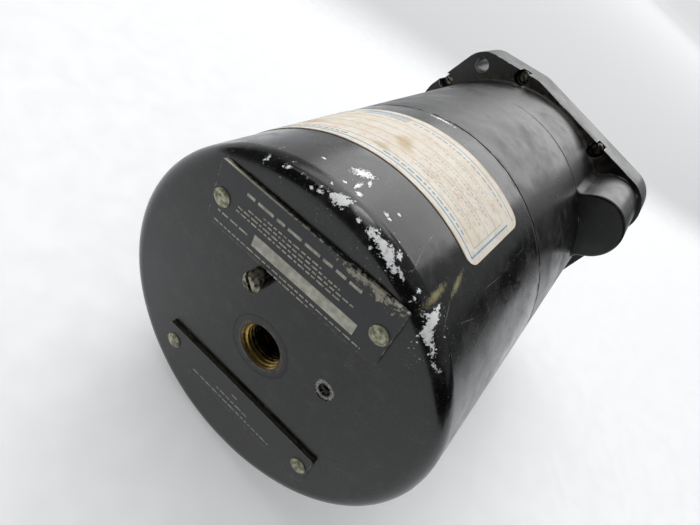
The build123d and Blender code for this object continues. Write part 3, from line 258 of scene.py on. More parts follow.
# %% Chips, scuffs and scratches
def wear_marks(m, place, radius, angle, y):
    """Four masks, of bare metal, rubbed metal, scratches and the greasy streak, and the fine noise
    that breaks their edges."""
    across = across_rim(m, y, radius)
    along = add(m, TIMES, angle, math.radians(BARREL))
    chart = add(m, "CombineXYZ", along, across)
    coarse = add(m, NOISE, place, 1.0, 1 / 1.3, 5.0, 0.65)
    crumbs = add(m, NOISE, place, 2.0, 1 / 0.42, 5.0, 0.75)
    ragged = add(m, TIMES_PLUS, coarse, 3.0, -1.5)
    ragged = add(m, PLUS, ragged, add(m, TIMES_PLUS, crumbs, 4.4, -2.2))
    middle = along_rim(m, angle, [(a, c) for a, c, _ in RIM_CHIPS])
    reach = along_rim(m, angle, [(a, w) for a, _, w in RIM_CHIPS])
    off = add(m, SIZE, add(m, MINUS, across, middle))
    band = add(m, MINUS, add(m, PLUS, reach, ragged), off)
    chipped = add(m, RAMP, band, 0.42, 0.56)
    # loose crumbs lie round the chips, fewer and fewer within 7 mm
    loose = add(m, TIMES, add(m, RAMP, off, 7.0, 0.5), add(m, RAMP, reach, 0.0, 1.0))
    loose = add(m, TIMES, loose, patches(m, place, 0.6, 0.64, 0.68, 11.0, 3.0))
    chipped = add(m, HIGHER, chipped, loose)
    spot = add(m, PLUS, blots(m, chart, SCUFFS), add(m, TIMES_PLUS, crumbs, 3.4, -1.95))
    chipped = add(m, HIGHER, chipped, add(m, RAMP, spot, 0.0, 0.15))
    # edges elsewhere are rubbed through here and there
    worn = patches(m, place, 3.5, 0.50, 0.64, 3.0, top=0.8)
    worn = add(m, TIMES, rubbed_edges(m, *CASE_EDGE), worn)
    worn = add(m, TIMES, worn, add(m, "Math.GREATER_THAN", radius, BUSH + 1.0))
    chipped = add(m, HIGHER, chipped, worn)
    # the stretch between the two large chips is worn through smoothly, not chipped
    rubbed = add(m, PLUS, blots(m, chart, RUBBED), add(m, TIMES, coarse, 0.5))
    rubbed = add(m, RAMP, rubbed, 0.1, 0.6)
    broken = add(m, TIMES_PLUS, crumbs, 2.5, -1.45)
    hairs = add(m, PLUS, blots(m, chart, SCRATCHES), broken)
    hairs = add(m, RAMP, hairs, 0.0, 0.9, 0.0, 0.5)
    streak = add(m, PLUS, blots(m, chart, STREAKS), broken)
    streak = add(m, RAMP, streak, -0.2, 0.8, 0.0, 0.8)
    return chipped, rubbed, hairs, streak, crumbs


print("scratches:", len(SCRATCHES), " streaks:", len(STREAKS))

# %% [markdown]
# The enamel is a sprayed and baked one, near black and fairly glossy, with a faint ripple called
# orange peel. Handling has left hazy patches and hair scratches, and dust sits in its
# corners. Where it has chipped, the oxidised casting shows pale and dull, a little below
# the paint. One material serves the whole case, because the map says where each mark belongs.

# %% Black enamel over cast aluminium
def black_enamel():
    """Black, laid over by each mark's share of its own shade, and by pale metal where chipped."""
    m, place = new_material("baked_black_enamel_on_cast_aluminium")
    (_, y, z), radius, angle = polar(m, place)
    chipped, rubbed, hairs, streak, crumbs = wear_marks(m, place, radius, angle, y)
    haze = patches(m, place, 11.0, 0.36, 0.66, 5.0)
    smudge = patches(m, place, 3.0, 0.48, 0.70, 10.0, top=0.6)
    # a real scratch is about 0.1 mm wide; these are wider, so that they show
    stretched = add(m, "Mapping", place, (0, 0, 0), (0.5, 0.3, 0.9), (1, 0.06, 1))
    fine = patches(m, stretched, 0.35, 0.64, 0.76, 4.0, 2.0, top=0.42)
    # dust lies most on the upper side
    dust = add(m, TIMES, patches(m, place, 0.5, 0.62, 0.74, 6.0, 3.0, top=0.45),
               add(m, RAMP, z, -25.0, 35.0, 0.25, 1.0))
    # grime lies in the joint line and round the foot of the barrel
    seam = add(m, SIZE, add(m, MINUS, y, SEAM))
    seam = add(m, RAMP, seam, 1.8, 0.3, 0.0, 0.55)
    foot = add(m, TIMES, add(m, RAMP, add(m, SIZE, y), 3.5, 0.0), add(m, RAMP, radius, 46.0, 39.0))
    grime = add(m, TIMES, add(m, HIGHER, seam, foot), patches(m, place, 2.2, 0.35, 0.65, 7.0))
    # the head of the missing screw has pressed a ring through the paint
    ring = add(m, "VectorMath.DISTANCE", place, EMPTY_HOLE)
    ring = add(m, SIZE, add(m, MINUS, ring, PRESSED_RING))
    ring = add(m, MINUS, add(m, TIMES_PLUS, crumbs, 3.4, -1.35), ring)
    ring = add(m, RAMP, ring, 0.0, 0.25, 0.0, 0.8)
    # a dark line shows where the brass bush was pressed in
    bush = add(m, SIZE, add(m, MINUS, radius, BUSH))
    bush = add(m, TIMES, add(m, RAMP, bush, 0.45, 0.15), add(m, RAMP, y, REAR - 0.5, REAR - 0.2))
    colour = add(m, MIX, haze, "#0b0b0c", "#151516")
    for share, shade in ((grime, "#4c463b"), (smudge, "#30302f"), (dust, "#77756d"),
                         (fine, "#5f5f5c"), (hairs, "#85847a"), (streak, "#a09a6e"),
                         (rubbed, "#6e6e6d"), (ring, "#b5b2a8"), (bush, "#050505")):
        colour = add(m, MIX, share, colour, shade)
    bare = add(m, MIX, patches(m, place, 0.8, 0.2, 0.5, 8.0), "#c4c1b6", "#ffffff")
    colour = add(m, MIX, chipped, colour, bare)
    gloss = add(m, BLEND, haze, 0.15, 0.28)
    # the front case is duller than the rear cover
    gloss = add(m, PLUS, gloss, add(m, RAMP, y, SEAM + 0.2, SEAM - 0.2, 0.0, 0.12))
    gloss = add(m, BLEND, add(m, HIGHER, grime, dust), gloss, 0.70)
    gloss = add(m, BLEND, add(m, HIGHER, ring, add(m, HIGHER, bush, streak)), gloss, 0.5)
    gloss = add(m, BLEND, chipped, add(m, TIMES_PLUS, smudge, 0.12, gloss), 0.62)
    metal = add(m, HIGHER, add(m, TIMES, chipped, 0.10), add(m, TIMES, rubbed, 0.7))
    peel = add(m, NOISE, place, 9.0, 1 / 1.6, 2.0)
    relief = add(m, MINUS, add(m, TIMES, peel, 0.22), chipped)
    relief = add(m, TIMES_PLUS, fine, -0.3, relief)
    return finish(m, relief, 0.07, Base_Color=colour, Roughness=gloss, Metallic=metal)


enamel = black_enamel()
print(enamel.name, "has", len(enamel.node_tree.nodes), "nodes")

# %% [markdown]
# The two plates are aluminium, etched and filled with black, riveted to the rear. Their print is
# bare metal level with the black, and their edges and one corner are rubbed bright. The
# mask for that corner is an oval in the plate's own frame, broken up by noise.

# %% Etched plate with rubbed edges
WORN_CORNER = (-14.0, NAME_TOP, 31.6)
NAME_EDGE, LOWER_EDGE = 31.94, -14.5  # upper edges of the two plates


def etched_plate():
    """Black in which an edge, a corner and scattered dots are worn through to pale metal."""
    m, place = new_material("etched_aluminium_plate_filled_black")
    own = add(m, "Mapping", place, (0, 0, 0), (0, TEXT_TURN, 0), (1, 1, 1), vector_type="TEXTURE")
    x, y, z = add(m, "SeparateXYZ", own).outputs
    rubs = add(m, NOISE, place, 1.0, 1 / 0.9, 5.0, 0.7)
    worn = add(m, TIMES, rubbed_edges(m, 0.35, 0.995, 0.93), add(m, RAMP, rubs, 0.46, 0.62))
    # the corner between the name plate's face and its upper side is bare, most of all at its left
    upper = add(m, TIMES, add(m, RAMP, z, NAME_EDGE - 0.25, NAME_EDGE - 0.10),
                add(m, RAMP, y, NAME_TOP - 0.42, NAME_TOP - 0.25))
    kept = add(m, RAMP, x, 0.0, 12.0, 0.52, 0.30)
    upper = add(m, TIMES, upper, add(m, "Math.GREATER_THAN", rubs, kept))
    worn = add(m, HIGHER, worn, upper)
    # the corner by the second rivet has lost its black, in crumbs
    away = add(m, "VectorMath.SUBTRACT", own, WORN_CORNER)
    away = add(m, "VectorMath.MULTIPLY", away, (0.11, 0.3, 0.6))
    bite = add(m, MINUS, add(m, TIMES_PLUS, rubs, 5.0, -1.75), add(m, LENGTH, away))
    worn = add(m, HIGHER, worn, add(m, RAMP, bite, 0.0, 0.35, 0.0, 0.85))
    # old dirt on the lower plate's upper edge
    edge = add(m, SIZE, add(m, MINUS, z, LOWER_EDGE))
    dirt = add(m, TIMES, add(m, RAMP, edge, 0.5, 0.1), patches(m, place, 1.6, 0.30, 0.60, 2.0))
    cloud = patches(m, place, 5.0, 0.35, 0.65, 3.0)
    colour = add(m, MIX, cloud, "#18191a", "#262728")
    pale = add(m, MIX, rubs, "#5c5747", "#c9c4b2")
    dots = patches(m, place, 0.45, 0.66, 0.76, 4.0, 2.0, top=0.4)
    for share, shade in ((worn, pale), (dirt, "#3d3628"), (dots, "#77756c")):
        colour = add(m, MIX, share, colour, shade)
    gloss = add(m, BLEND, worn, add(m, BLEND, cloud, 0.28, 0.40), 0.45)
    return finish(m, add(m, MINUS, cloud, worn), 0.02, Base_Color=colour, Roughness=gloss,
                  Metallic=add(m, TIMES, worn, 0.4))


plate = etched_plate()
print(plate.name, "has", len(plate.node_tree.nodes), "nodes")

# %% [markdown]
# Most of the small parts are metals. Each is the same idea with other numbers: a colour
# that wanders a little with tarnish, and fine lines left by the tool. On turned parts the
# lines run round the part, on rolled sheet they run along it. A stretched noise gives either.

# %% Worked metals
def worked_metal(name, pale, dull, rough, tool=(1, 1, 1), grain=0.25, tarnish=3.0, metallic=1.0):
    """A metal whose colour wanders from pale to dull over patches of tarnish millimetres, with
    tool marks grain millimetres apart, drawn out along the axes where tool is small."""
    m, place = new_material(name)
    stain = patches(m, place, tarnish, 0.35, 0.65, 1.0)
    drawn = add(m, "Mapping", place, (0, 0, 0), (0, 0, 0), tool)
    lines = add(m, NOISE, drawn, 2.0, 1 / grain, 2.0)
    return finish(m, lines, 0.012, Base_Color=add(m, MIX, stain, pale, dull),
                  Roughness=add(m, BLEND, stain, rough, rough + 0.16),
                  Metallic=add(m, BLEND, stain, metallic, metallic * 0.85))


brass = worked_metal("turned_brass", "#c9a55c", "#8a6a35", 0.24, (1, 5, 1))
steel = worked_metal("turned_steel", "#a9aaa8", "#7b7a76", 0.28, (1, 5, 1))
bronze = worked_metal("rolled_phosphor_bronze", "#c08a56", "#96663c", 0.26, (0.2, 1, 1))
aluminium = worked_metal("milled_aluminium", "#c9cbcc", "#a8aaab", 0.32, (0.15, 1, 1))
copper = worked_metal("drawn_copper_tube", "#b8714c", "#7d4a33", 0.28, (1, 0.2, 1))
black_steel = worked_metal("blacked_steel_screw", "#2c2b28", "#a8a290", 0.32, grain=0.3,
                           tarnish=1.1, metallic=0.85)
rivet = worked_metal("oxidised_aluminium_rivet", "#c3c0a6", "#77775f", 0.44, grain=0.3,
                     tarnish=0.9, metallic=0.5)
print("materials so far:", len(bpy.data.materials))

# %% [markdown]
# The port is a brass bush pressed into the cover. Its end was painted over with the rear face,
# and only the thread is bare brass, greasy between its turns and under a painted shade deeper
# in the bore. The paint is laid on by radius: outside the mouth, and only at the height of the
# rear face.

# %% Painted brass port
# a dark line round the bush, widened on the -X side into a painted shadow
BUSH_SHADOW_SHIFT = 0.35  # how far the painted line stands off the bush's centre


def port_metal(name, painted):
    """Yellow brass, dark where it is greasy and under a painted shade deeper in the bore, with
    black paint on its end.
    """
    m, place = new_material(name)
    (x, y, z), radius, _ = polar(m, place)
    patch = patches(m, place, 1.5, 0.38, 0.62, 1.0)
    # painted shade deeper in the bore; greasy in the thread's roots and in patches
    depth = add(m, RAMP, y, REAR - 0.8, REAR - 4.0)
    root = add(m, RAMP, radius, CREST + 0.07, ROOT - 0.02)
    grease_and_shade = add(m, TIMES_PLUS, patch, 0.35, add(m, TIMES, depth, 0.75))
    grease_and_shade = add(m, TIMES_PLUS, root, 0.35, grease_and_shade)
    colour = add(m, MIX, grease_and_shade, "#bb9d55", "#1f150e")
    rough = add(m, BLEND, grease_and_shade, 0.24, 0.55)
    metal = add(m, BLEND, grease_and_shade, 1.0, 0.6)
    if painted:
        end = add(m, TIMES, add(m, RAMP, radius, MOUTH - 0.05, MOUTH + 0.2),
                  add(m, RAMP, y, REAR - 0.5, REAR - 0.3))
        # a paler broken ring on the mouth's edge is a painted highlight
        painted_lip_highlight = add(m, SIZE, add(m, MINUS, radius, MOUTH + 0.5))
        painted_lip_highlight = add(m, TIMES, add(m, RAMP, painted_lip_highlight, 0.45, 0.1, 0.0, 0.5), patch)
        # the black line round the bush is wider on the -X side, as a painted shadow of its edge
        aside = add(m, "CombineXYZ", x, 0.0, z)
        aside = add(m, LENGTH, add(m, "VectorMath.SUBTRACT", aside, (BUSH_SHADOW_SHIFT, 0, 0)))
        line = add(m, RAMP, aside, BUSH - 0.35, BUSH - 0.1)
        paint = add(m, MIX, patch, "#1b1b1a", "#2b2a27")
        paint = add(m, MIX, painted_lip_highlight, paint, "#6b6657")
        colour = add(m, MIX, end, colour, add(m, MIX, line, paint, "#050505"))
        rough = add(m, BLEND, end, rough, 0.42)
        metal = add(m, BLEND, end, metal, 0.0)
    return finish(m, patch, 0.03, Base_Color=colour, Roughness=rough, Metallic=metal)


port_paint = port_metal("brass_bush_painted_end", True)
thread_brass = port_metal("brass_pipe_thread", False)
print("finishes of the port:", port_paint.name, "and", thread_brass.name)

# %% [markdown]
# The label is paper, printed in blue and varnished, now cream with age. Yellow glue has come
# through in three places and fine rust specks have settled on it. Paper has no highlight to speak
# of, so it is rough, and its fibres are a fine bump.

# %% Aged paper
STAINS = [(69.3, 96.4, 3.4, 1.6, 20), (72.2, 89.8, 4.5, 2.2, 60), (40.0, 92.0, 5.0, 2.5, 10)]
RUST = [(83.9, 93.0, 3.4, 2.4, 30), (93.5, 90.2, 4.0, 2.8, 50), (98.4, 86.7, 3.6, 2.6, 0)]
LABEL_MIDDLE, LABEL_HALF = 87.65, 13.25


def aged_paper():
    """Cream paper, laid over by pink, glue, rust, specks and darker edges by their shares."""
    m, place = new_material("varnished_paper_label")
    (_, y, _), _, angle = polar(m, place)
    chart = add(m, "CombineXYZ", add(m, TIMES, angle, math.radians(BARREL)), y)
    cloud = add(m, NOISE, place, 1.0, 1 / 5.0, 5.0, 0.6)
    glue = add(m, PLUS, blots(m, chart, STAINS), add(m, TIMES_PLUS, cloud, 1.6, -0.8))
    glue = add(m, RAMP, glue, -0.1, 0.8, 0.0, 0.55)
    near_rust = add(m, TIMES_PLUS, cloud, 0.8, blots(m, chart, RUST))
    rust = add(m, TIMES, patches(m, place, 0.55, 0.50, 0.64, 2.0, 4.0, 0.75, 0.5),
               add(m, RAMP, near_rust, 0.0, 0.9))
    pink = patches(m, place, 1.4, 0.45, 0.75, 5.0, 5.0, 0.7, 0.7)
    colour = add(m, MIX, add(m, RAMP, cloud, 0.3, 0.7), "#f7f0e4", "#eee2d0")
    # darker towards both edges of the label
    edge = add(m, SIZE, add(m, MINUS, y, LABEL_MIDDLE))
    edge = add(m, RAMP, add(m, TIMES_PLUS, cloud, 1.2, edge),
               LABEL_HALF, LABEL_HALF + 0.8, 0.0, 0.55)
    specks = patches(m, place, 0.7, 0.62, 0.72, 3.0, 3.0, 0.7, 0.3)
    for share, shade in ((pink, "#d8bfa8"), (glue, "#bd9d52"), (rust, "#9a6440"),
                         (specks, "#9c7a5c"), (edge, "#7d6f58")):
        colour = add(m, MIX, share, colour, shade)
    return finish(m, add(m, NOISE, place, 4.0, 1 / 0.3, 3.0), 0.02, Base_Color=colour,
                  Roughness=add(m, BLEND, glue, 0.62, 0.42), Specular_IOR_Level=0.3)


paper = aged_paper()
print(paper.name, "has", len(paper.node_tree.nodes), "nodes")

# %% [markdown]
# What is left are quiet finishes: rubber seals, a porous plug, a gauze, matt paints and glass.
# Each is still a pattern, because nothing real is one flat colour. The printing inks are
# here as well. Glass is drawn as thin glass: a mirror that is nearly clear. Its share of mirror
# grows towards a glancing angle, as the Fresnel node works out, and the rest is see-through.

# %% Matt finishes, inks and glass
def quiet_finish(name, pale, dull, rough, grain, depth, spread=2.0, **shader):
    """A finish whose colour wanders between two shades over spread millimetres, with a surface
    grain of grain millimetres that is depth deep."""
    m, place = new_material(name)
    fine = add(m, NOISE, place, 2.0, 1 / grain, 3.0)
    return finish(m, fine, depth,
                  Base_Color=add(m, MIX, patches(m, place, spread, 0.3, 0.7, 1.0), pale, dull),
                  Roughness=add(m, BLEND, fine, rough - 0.06, rough + 0.06), **shader)


rubber = quiet_finish("black_rubber_seal", "#1b1a19", "#2a2826", 0.70, 0.4, 0.03)
ceramic = quiet_finish("porous_ceramic_plug", "#d9d4c7", "#b9b19e", 0.80, 0.25, 0.04)
dial_black = quiet_finish("matt_black_dial_paint", "#141414", "#1f1f1e", 0.62, 0.2, 0.01)
pointer_white = quiet_finish("matt_white_pointer_paint", "#d9d6c6", "#c5c0aa", 0.55, 0.2, 0.01)
mark_white = quiet_finish("printed_white_dial_ink", "#d2d0c4", "#bdbaa9", 0.60, 0.3, 0.005)
blue_ink = quiet_finish("faded_blue_print", "#5b9fc8", "#8db6cb", 0.60, 0.4, 0.005, 1.2)
grey_ink = quiet_finish("faded_grey_ruling", "#8fa9b4", "#c9c3b4", 0.60, 0.4, 0.005, 1.0)
etched = quiet_finish("bare_etched_aluminium", "#c3c1b4", "#8a8779", 0.46, 0.3, 0.01, 0.8,
                      Metallic=0.2)
bar_silver = quiet_finish("brushed_serial_bar", "#c6c4b6", "#9a978a", 0.42, 0.25, 0.01, 1.5,
                          Metallic=0.25)
WIRE_PITCH = 0.35  # millimetres; finer on the real gauze, but it shows


def woven_gauze():
    """Fine brass cloth: two sets of wires, with dark gaps where both are low. A wave texture has
    scale 2 pi / (20 times the distance between its bands)."""
    m, place = new_material("brass_wire_gauze")
    scale = 2 * math.pi / 20 / WIRE_PITCH
    sets = [add(m, "TexWave", place, scale, bands_direction=way) for way in ("X", "Z")]
    weave = add(m, HIGHER, sets[0].outputs[1], sets[1].outputs[1])
    wires = add(m, RAMP, weave, 0.55, 0.85)
    return finish(m, weave, 0.08, Base_Color=add(m, MIX, wires, "#1d160c", "#8d7440"),
                  Metallic=0.8, Roughness=0.45)


def clear_glass():
    """A mirror whose alpha is the Fresnel share on its outer side, 0.01, and a thin smear."""
    m, place = new_material("clear_cover_glass")
    smear = patches(m, place, 9.0, 0.45, 0.75, 1.0, top=0.03)
    # only the outer side mirrors: seen from within, the node would turn a slanting view opaque
    outer = add(m, MINUS, 1.0, add(m, "NewGeometry").outputs["Backfacing"])
    share = add(m, TIMES_PLUS, add(m, "Fresnel", 1.5), outer, 0.01)
    return finish(m, Base_Color="#f4f8f6", Roughness=0.03, Metallic=1.0,
                  Alpha=add(m, PLUS, share, smear))


gauze, glass = woven_gauze(), clear_glass()
print("materials made:", len(bpy.data.materials))

# %% [markdown]
# Now each CAD node gets its finish. The record already says which slot a node belongs to, so
# the finish is looked up by slot. A few nodes differ from their slot's rule, because only they
# are seen: the screw in the rear face, the bezel's screws and the port.

# %% Dress the CAD nodes
BY_SLOT = dict(
    case_paint=enamel, plate_paint=plate, rivet_aluminium=rivet, label_paper=paper, rubber=rubber,
    brass=brass, gauze=gauze, steel=steel, spring_bronze=bronze, frame_aluminium=aluminium,
    glass=glass, dial_paint=dial_black, pointer_paint=pointer_white, copper_tube=copper,
    ceramic=ceramic)
BY_NODE = dict(rear_cover_screw=black_steel, bezel_screws=black_steel, port_bushing=port_paint)
for row in frame["record"]["subparts"]:
    piece = nodes[row["node"]]
    piece.data.materials.clear()
    piece.data.materials.append(BY_NODE.get(row["node"], BY_SLOT[row["material_slot"]]))
print("dressed", len(nodes), "nodes in", len(BY_SLOT) + len(BY_NODE), "finishes")

# %% [markdown]
# One piece bends as the instrument works: the capsule, two thin corrugated discs sealed at the rim.
# Its lower middle is held by the case and its upper middle lifts the link. So a copy of its mesh
# stands for the solid.

# %% Capsule, a copy of the solid's mesh
def new_object(name, data):
    """A new object of the scene, at the origin."""
    thing = bpy.data.objects.new(name, data)
    bpy.context.scene.collection.objects.link(thing)
    return thing


capsule = new_object("swelling_capsule", nodes["capsule"].data.copy())
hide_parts("capsule")
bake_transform(capsule)

# %% [markdown]
# Print is made as thin closed strips instead of a picture, so that it is still there in the
# exported meshes. A strip is a box carried along a line: four corners at each step, joined to the
# next four. The same function draws it on a flat plate, round the barrel or on the dial, because
# the caller says where a pair of numbers lies in space.

# %% Strips
def new_shape(name, points, faces, material):
    """A mesh object from points in millimetres and faces."""
    mesh = bpy.data.meshes.new(name)
    mesh.from_pydata(np.asarray(points) * MM, [], faces)
    mesh.materials.append(material)
    return new_object(name, mesh)


def make_piece(name, points, faces, material, body, slot, smooth=False):
    """A closed shape that rides on a body of the instrument, its faces turned outwards."""
    piece = new_shape(name, points, faces, material)
    mesh, work = piece.data, bmesh.new()
    work.from_mesh(mesh)
    bmesh.ops.recalc_face_normals(work, faces=work.faces)
    work.to_mesh(mesh)
    work.free()
    mesh.polygons.foreach_set("use_smooth", np.full(len(faces), smooth))
    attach(piece, body)


def grid_faces(rows, columns, round_rows=True, round_columns=False):
    """Faces of a grid of points that are listed row by row. Each joins a point to the next row
    and the next column, and a grid that is closed that way goes on from its last to its first."""
    i, j = np.indices((rows - (not round_rows), columns - (not round_columns)))
    here, there, after = i * columns, (i + 1) % rows * columns, (j + 1) % columns
    quads = np.stack([here + j, there + j, there + after, here + after], -1)
    return quads.reshape(-1, 4).tolist()


def strips(rects, place, steps=1, height=0.03):
    """Points and faces of thin boxes. Row k of rects is (u0, u1, v0, v1). Step j has u = u0 plus
    j / steps of (u1 - u0), and its four corners are v0 and v1, below and above the surface.
    place(u, v, h) turns such arrays into x, y and z."""
    r = np.asarray(rects, float)
    n = len(r)
    share = np.linspace(0, 1, steps + 1)[None, :, None]
    u = r[:, 0, None, None] + share * (r[:, 1] - r[:, 0])[:, None, None] + np.zeros((1, 1, 4))
    v = r[:, None, [2, 3, 3, 2]] + 0 * u
    h = np.array([-0.01, -0.01, height, height]) + 0 * u
    points = np.stack(place(u, v, h), axis=-1).reshape(-1, 3)
    ring = 4 * np.arange(steps)[:, None, None] + 4 * (steps + 1) * np.arange(n)
    side = np.arange(4)[:, None]
    after = (side + 1) % 4
    quads = np.stack([ring + side, ring + after, ring + 4 + after, ring + 4 + side], -1)
    first = 4 * (steps + 1) * np.arange(n)[:, None]
    caps = np.concatenate([first + [3, 2, 1, 0], first + 4 * steps + [0, 1, 2, 3]])
    return points, np.concatenate([quads.reshape(-1, 4), caps]).tolist()


def on_plate(top):
    """Text coordinates to space on a plate whose face is at y = top: the plate's frame is turned
    by the text's angle about the barrel's axis."""
    c, s = math.cos(TEXT_TURN), math.sin(TEXT_TURN)
    return lambda u, v, h: (u * c + v * s, top + h, -u * s + v * c)


PAPER = 0.15  # thickness of the label in millimetres


def on_label(u, v, h):
    """Degrees and depth to space on the label: a circle of the paper's own radius."""
    r, a = BARREL + PAPER + h, np.radians(u)
    return r * np.cos(a), v, r * np.sin(a)


def dashes(start, end, v0, v1, lengths, gap):
    """A row of short bars between start and end, as words look from a distance: lengths are drawn
    at random between the two given."""
    way = 1 if end > start else -1
    rows, at = [], start
    while way * (end - at) > 0.3 * gap:
        stop = at + way * rng.uniform(*lengths)
        stop = end if way * (end - stop) < gap else stop
        rows.append((min(at, stop), max(at, stop), v0, v1))
        at = stop + way * gap
    return rows


print("faces of one short strip:", len(strips([(0, 1, 0, 1)], on_label)[1]))

# %% [markdown]
# The name plate of the real instrument carries words and a number, which this copy leaves out. In
# their place are rows of short bars of the same height, and the plain silver bar for a
# number stays, because it is only a bar.

# %% Print on the two plates
# start and end along the row, height of the row's middle, height of a bar
NAME_ROWS = [(13.6, -12.4, 29.2, 0.62), (9.0, -4.5, 27.4, 0.3), (12.4, -9.0, 26.5, 0.3),
             (14.6, -12.4, 25.6, 0.3), (14.8, -9.8, 24.7, 0.3), (18.9, -17.0, 19.5, 0.3),
             (4.6, -5.4, 18.5, 0.3), (18.6, 11.0, 21.9, 0.4)]
LOWER_ROWS = [(0.9, -0.7, -18.2, 0.42), (5.2, -4.5, -20.4, 0.36), (12.6, -11.9, -22.2, 0.36)]


def print_rows(rows):
    """Every row as short bars, longer where the row is taller."""
    return [bar for start, end, middle, tall in rows
            for bar in dashes(start, end, middle - tall / 2, middle + tall / 2,
                              (1.6 * tall, 6.0 * tall), 1.2 * tall)]


NAME_BAR = (-14.6, 9.5, 20.6, 23.2)
name_rows, lower_rows = print_rows(NAME_ROWS), print_rows(LOWER_ROWS)
for name, rows, top, metal, steps, height in (
        ("name_plate_print", name_rows, NAME_TOP, etched, 1, 0.03),
        ("name_plate_bar", [NAME_BAR], NAME_TOP, bar_silver, 24, 0.02),
        ("lower_plate_print", lower_rows, LOWER_TOP, etched, 1, 0.03)):
    make_piece(name, *strips(rows, on_plate(top), steps, height), metal, "case", "plate_paint")
print("bars on the plates:", len(name_rows), "+", len(lower_rows))

# %% [markdown]
# The label is a printed form: a border, a frame with ruled lines, and rows of small print.
# Long lines bend with the barrel, so they get many steps. The print itself stays a row of short
# marks with nothing to read.

# %% Print on the label
# the border and the frame inside it: start and end in degrees, front and rear in millimetres
START, END, FRONT, BACK = 5.0, 109.5, 76.7, 99.35
IN_START, IN_END, IN_FRONT, IN_BACK = 8.0, 107.8, 81.5, 96.95
WORDS, SHORT_WORDS, GAP = (0.8, 2.6), (0.7, 2.2), 0.7  # degrees
lines = [(START, END, BACK - 0.3, BACK), (START, END, FRONT, FRONT + 0.2),
         (END - 0.5, END, 80.0, BACK), (START, START + 0.3, FRONT, BACK)]
ruling = [(IN_START, IN_END, y, y + 0.1) for y in (IN_FRONT, 85.4, 89.6, 93.7)]
ruling += [(IN_START, IN_END, IN_BACK - 0.15, IN_BACK),
           (IN_END - 0.2, IN_END, 82.5, IN_BACK),
           (IN_START, IN_START + 0.2, IN_FRONT, IN_BACK)]
small = dashes(72.0, 103.0, 97.9, 98.3, WORDS, GAP) + dashes(12.0, 60.0, 97.9, 98.3, WORDS, GAP)
small += dashes(66.0, 104.0, 78.3, 78.65, SHORT_WORDS, GAP)
small += dashes(14.0, 44.0, 78.3, 78.65, SHORT_WORDS, GAP)
small += [(48.0, 64.0, 76.4 + 0.9 * k, 76.65 + 0.9 * k) for k in range(4)]
typed = []
for y in (82.4, 86.5, 90.7, 94.6):
    typed += dashes(14.0, 34.0, y, y + 0.3, (0.6, 1.8), GAP)
    typed += dashes(80.0, 104.0, y, y + 0.25, (0.4, 1.3), 0.6)
for name, rows, ink, steps, height in (
        ("label_border", lines, blue_ink, 60, 0.02), ("label_ruling", ruling, grey_ink, 60, 0.02),
        ("label_print", small, blue_ink, 6, 0.02),
        ("label_small_print", typed, grey_ink, 2, 0.015)):
    make_piece(name, *strips(rows, on_label, steps, height), ink, "case", "label_paper")
print("marks on the label:", len(lines) + len(ruling) + len(small) + len(typed))

# %% [markdown]
# The port has a pipe thread, which the solid shows as a plain bore. The thread is a surface of two
# parameters, the angle and the depth: its radius swings between crest and root once for each pitch,
# and the swing moves on by one pitch in each turn. It closes on an outer wall inside the brass.

# %% Thread of the port
WALL = 4.945  # outer wall of the piece, just inside the brass
PITCH = 25.4 / 27  # 27 turns to the inch on a 1/8 inch pipe
THREAD_IN, THREAD_OUT = 111.3, 118.95


def port_thread(turns=96, rows=140):
    """The radius is the crest plus (root - crest) times a rounded zigzag of y / pitch + angle /
    360 degrees, so the surface climbs as a right-hand screw. Both ends fade out to the root."""
    angle = np.linspace(0, 2 * np.pi, turns, endpoint=False)[:, None]
    y = np.linspace(THREAD_IN, THREAD_OUT, rows)[None, :]
    phase = (y / PITCH + angle / (2 * np.pi)) % 1
    swing = 0.5 + 0.5 * np.tanh(3.2 * (np.abs(2 * phase - 1) - 0.5)) / np.tanh(1.6)
    fade = np.clip(np.minimum(y - THREAD_IN, THREAD_OUT - y) / (0.8 * PITCH), 0, 1)
    radius = ROOT - (ROOT - CREST) * (1 - swing) * fade
    radius = np.concatenate([radius, np.full((turns, 2), WALL)], axis=1)
    ends = np.tile([THREAD_OUT, THREAD_IN], (turns, 1))
    depth = np.concatenate([y + 0 * angle, ends], axis=1)
    points = np.stack([radius * np.cos(angle), depth, radius * np.sin(angle)], -1).reshape(-1, 3)
    return points, grid_faces(turns, rows + 2, round_columns=True)


make_piece("static_port_thread", *port_thread(), thread_brass, "case", "brass", smooth=True)
print("turns of thread:", round((THREAD_OUT - THREAD_IN) / PITCH, 1))

# %% [markdown]
# The dial isn't in the photograph, so it follows what such dials have in common: zero at nine
# o'clock, climb upwards and descent downwards, and a scale that is wide near zero and closes up.
# It carries plain numbers, in thousands of feet a minute, and no words.

# %% Dial marks
SCALE = [(0, 0), (0.5, 36), (1, 70), (2, 112), (3, 132), (4, 147), (5, 158), (6, 168)]
values = np.concatenate([np.arange(0, 1, 0.1), np.arange(1, 2, 0.5), np.arange(2, 6.01, 1)])
swings = np.interp(values, [v for v, _ in SCALE], [a for _, a in SCALE])
whole = np.isclose(values % 1, 0) | np.isclose(values, 0.5)
swings, whole = np.concatenate([swings, -swings[1:]]), np.concatenate([whole, whole[1:]])
tick_angle = np.radians(180 - swings)[:, None, None]


def on_dial(u, v, h):
    """Distance from the centre and sideways to space, each strip turned to its own angle."""
    x = u * np.cos(tick_angle) - v * np.sin(tick_angle)
    return x, DIAL_FACE - h, u * np.sin(tick_angle) + v * np.cos(tick_angle)


LONG_FROM, SHORT_FROM, TICK_TO = 26.6, 29.0, 32.6
half_wide = np.where(whole, 0.55, 0.28)
ticks = np.stack([np.where(whole, LONG_FROM, SHORT_FROM), np.full(len(swings), TICK_TO),
                  -half_wide, half_wide], -1)
make_piece("dial_ticks", *strips(ticks, on_dial), mark_white, "case", "dial_paint")


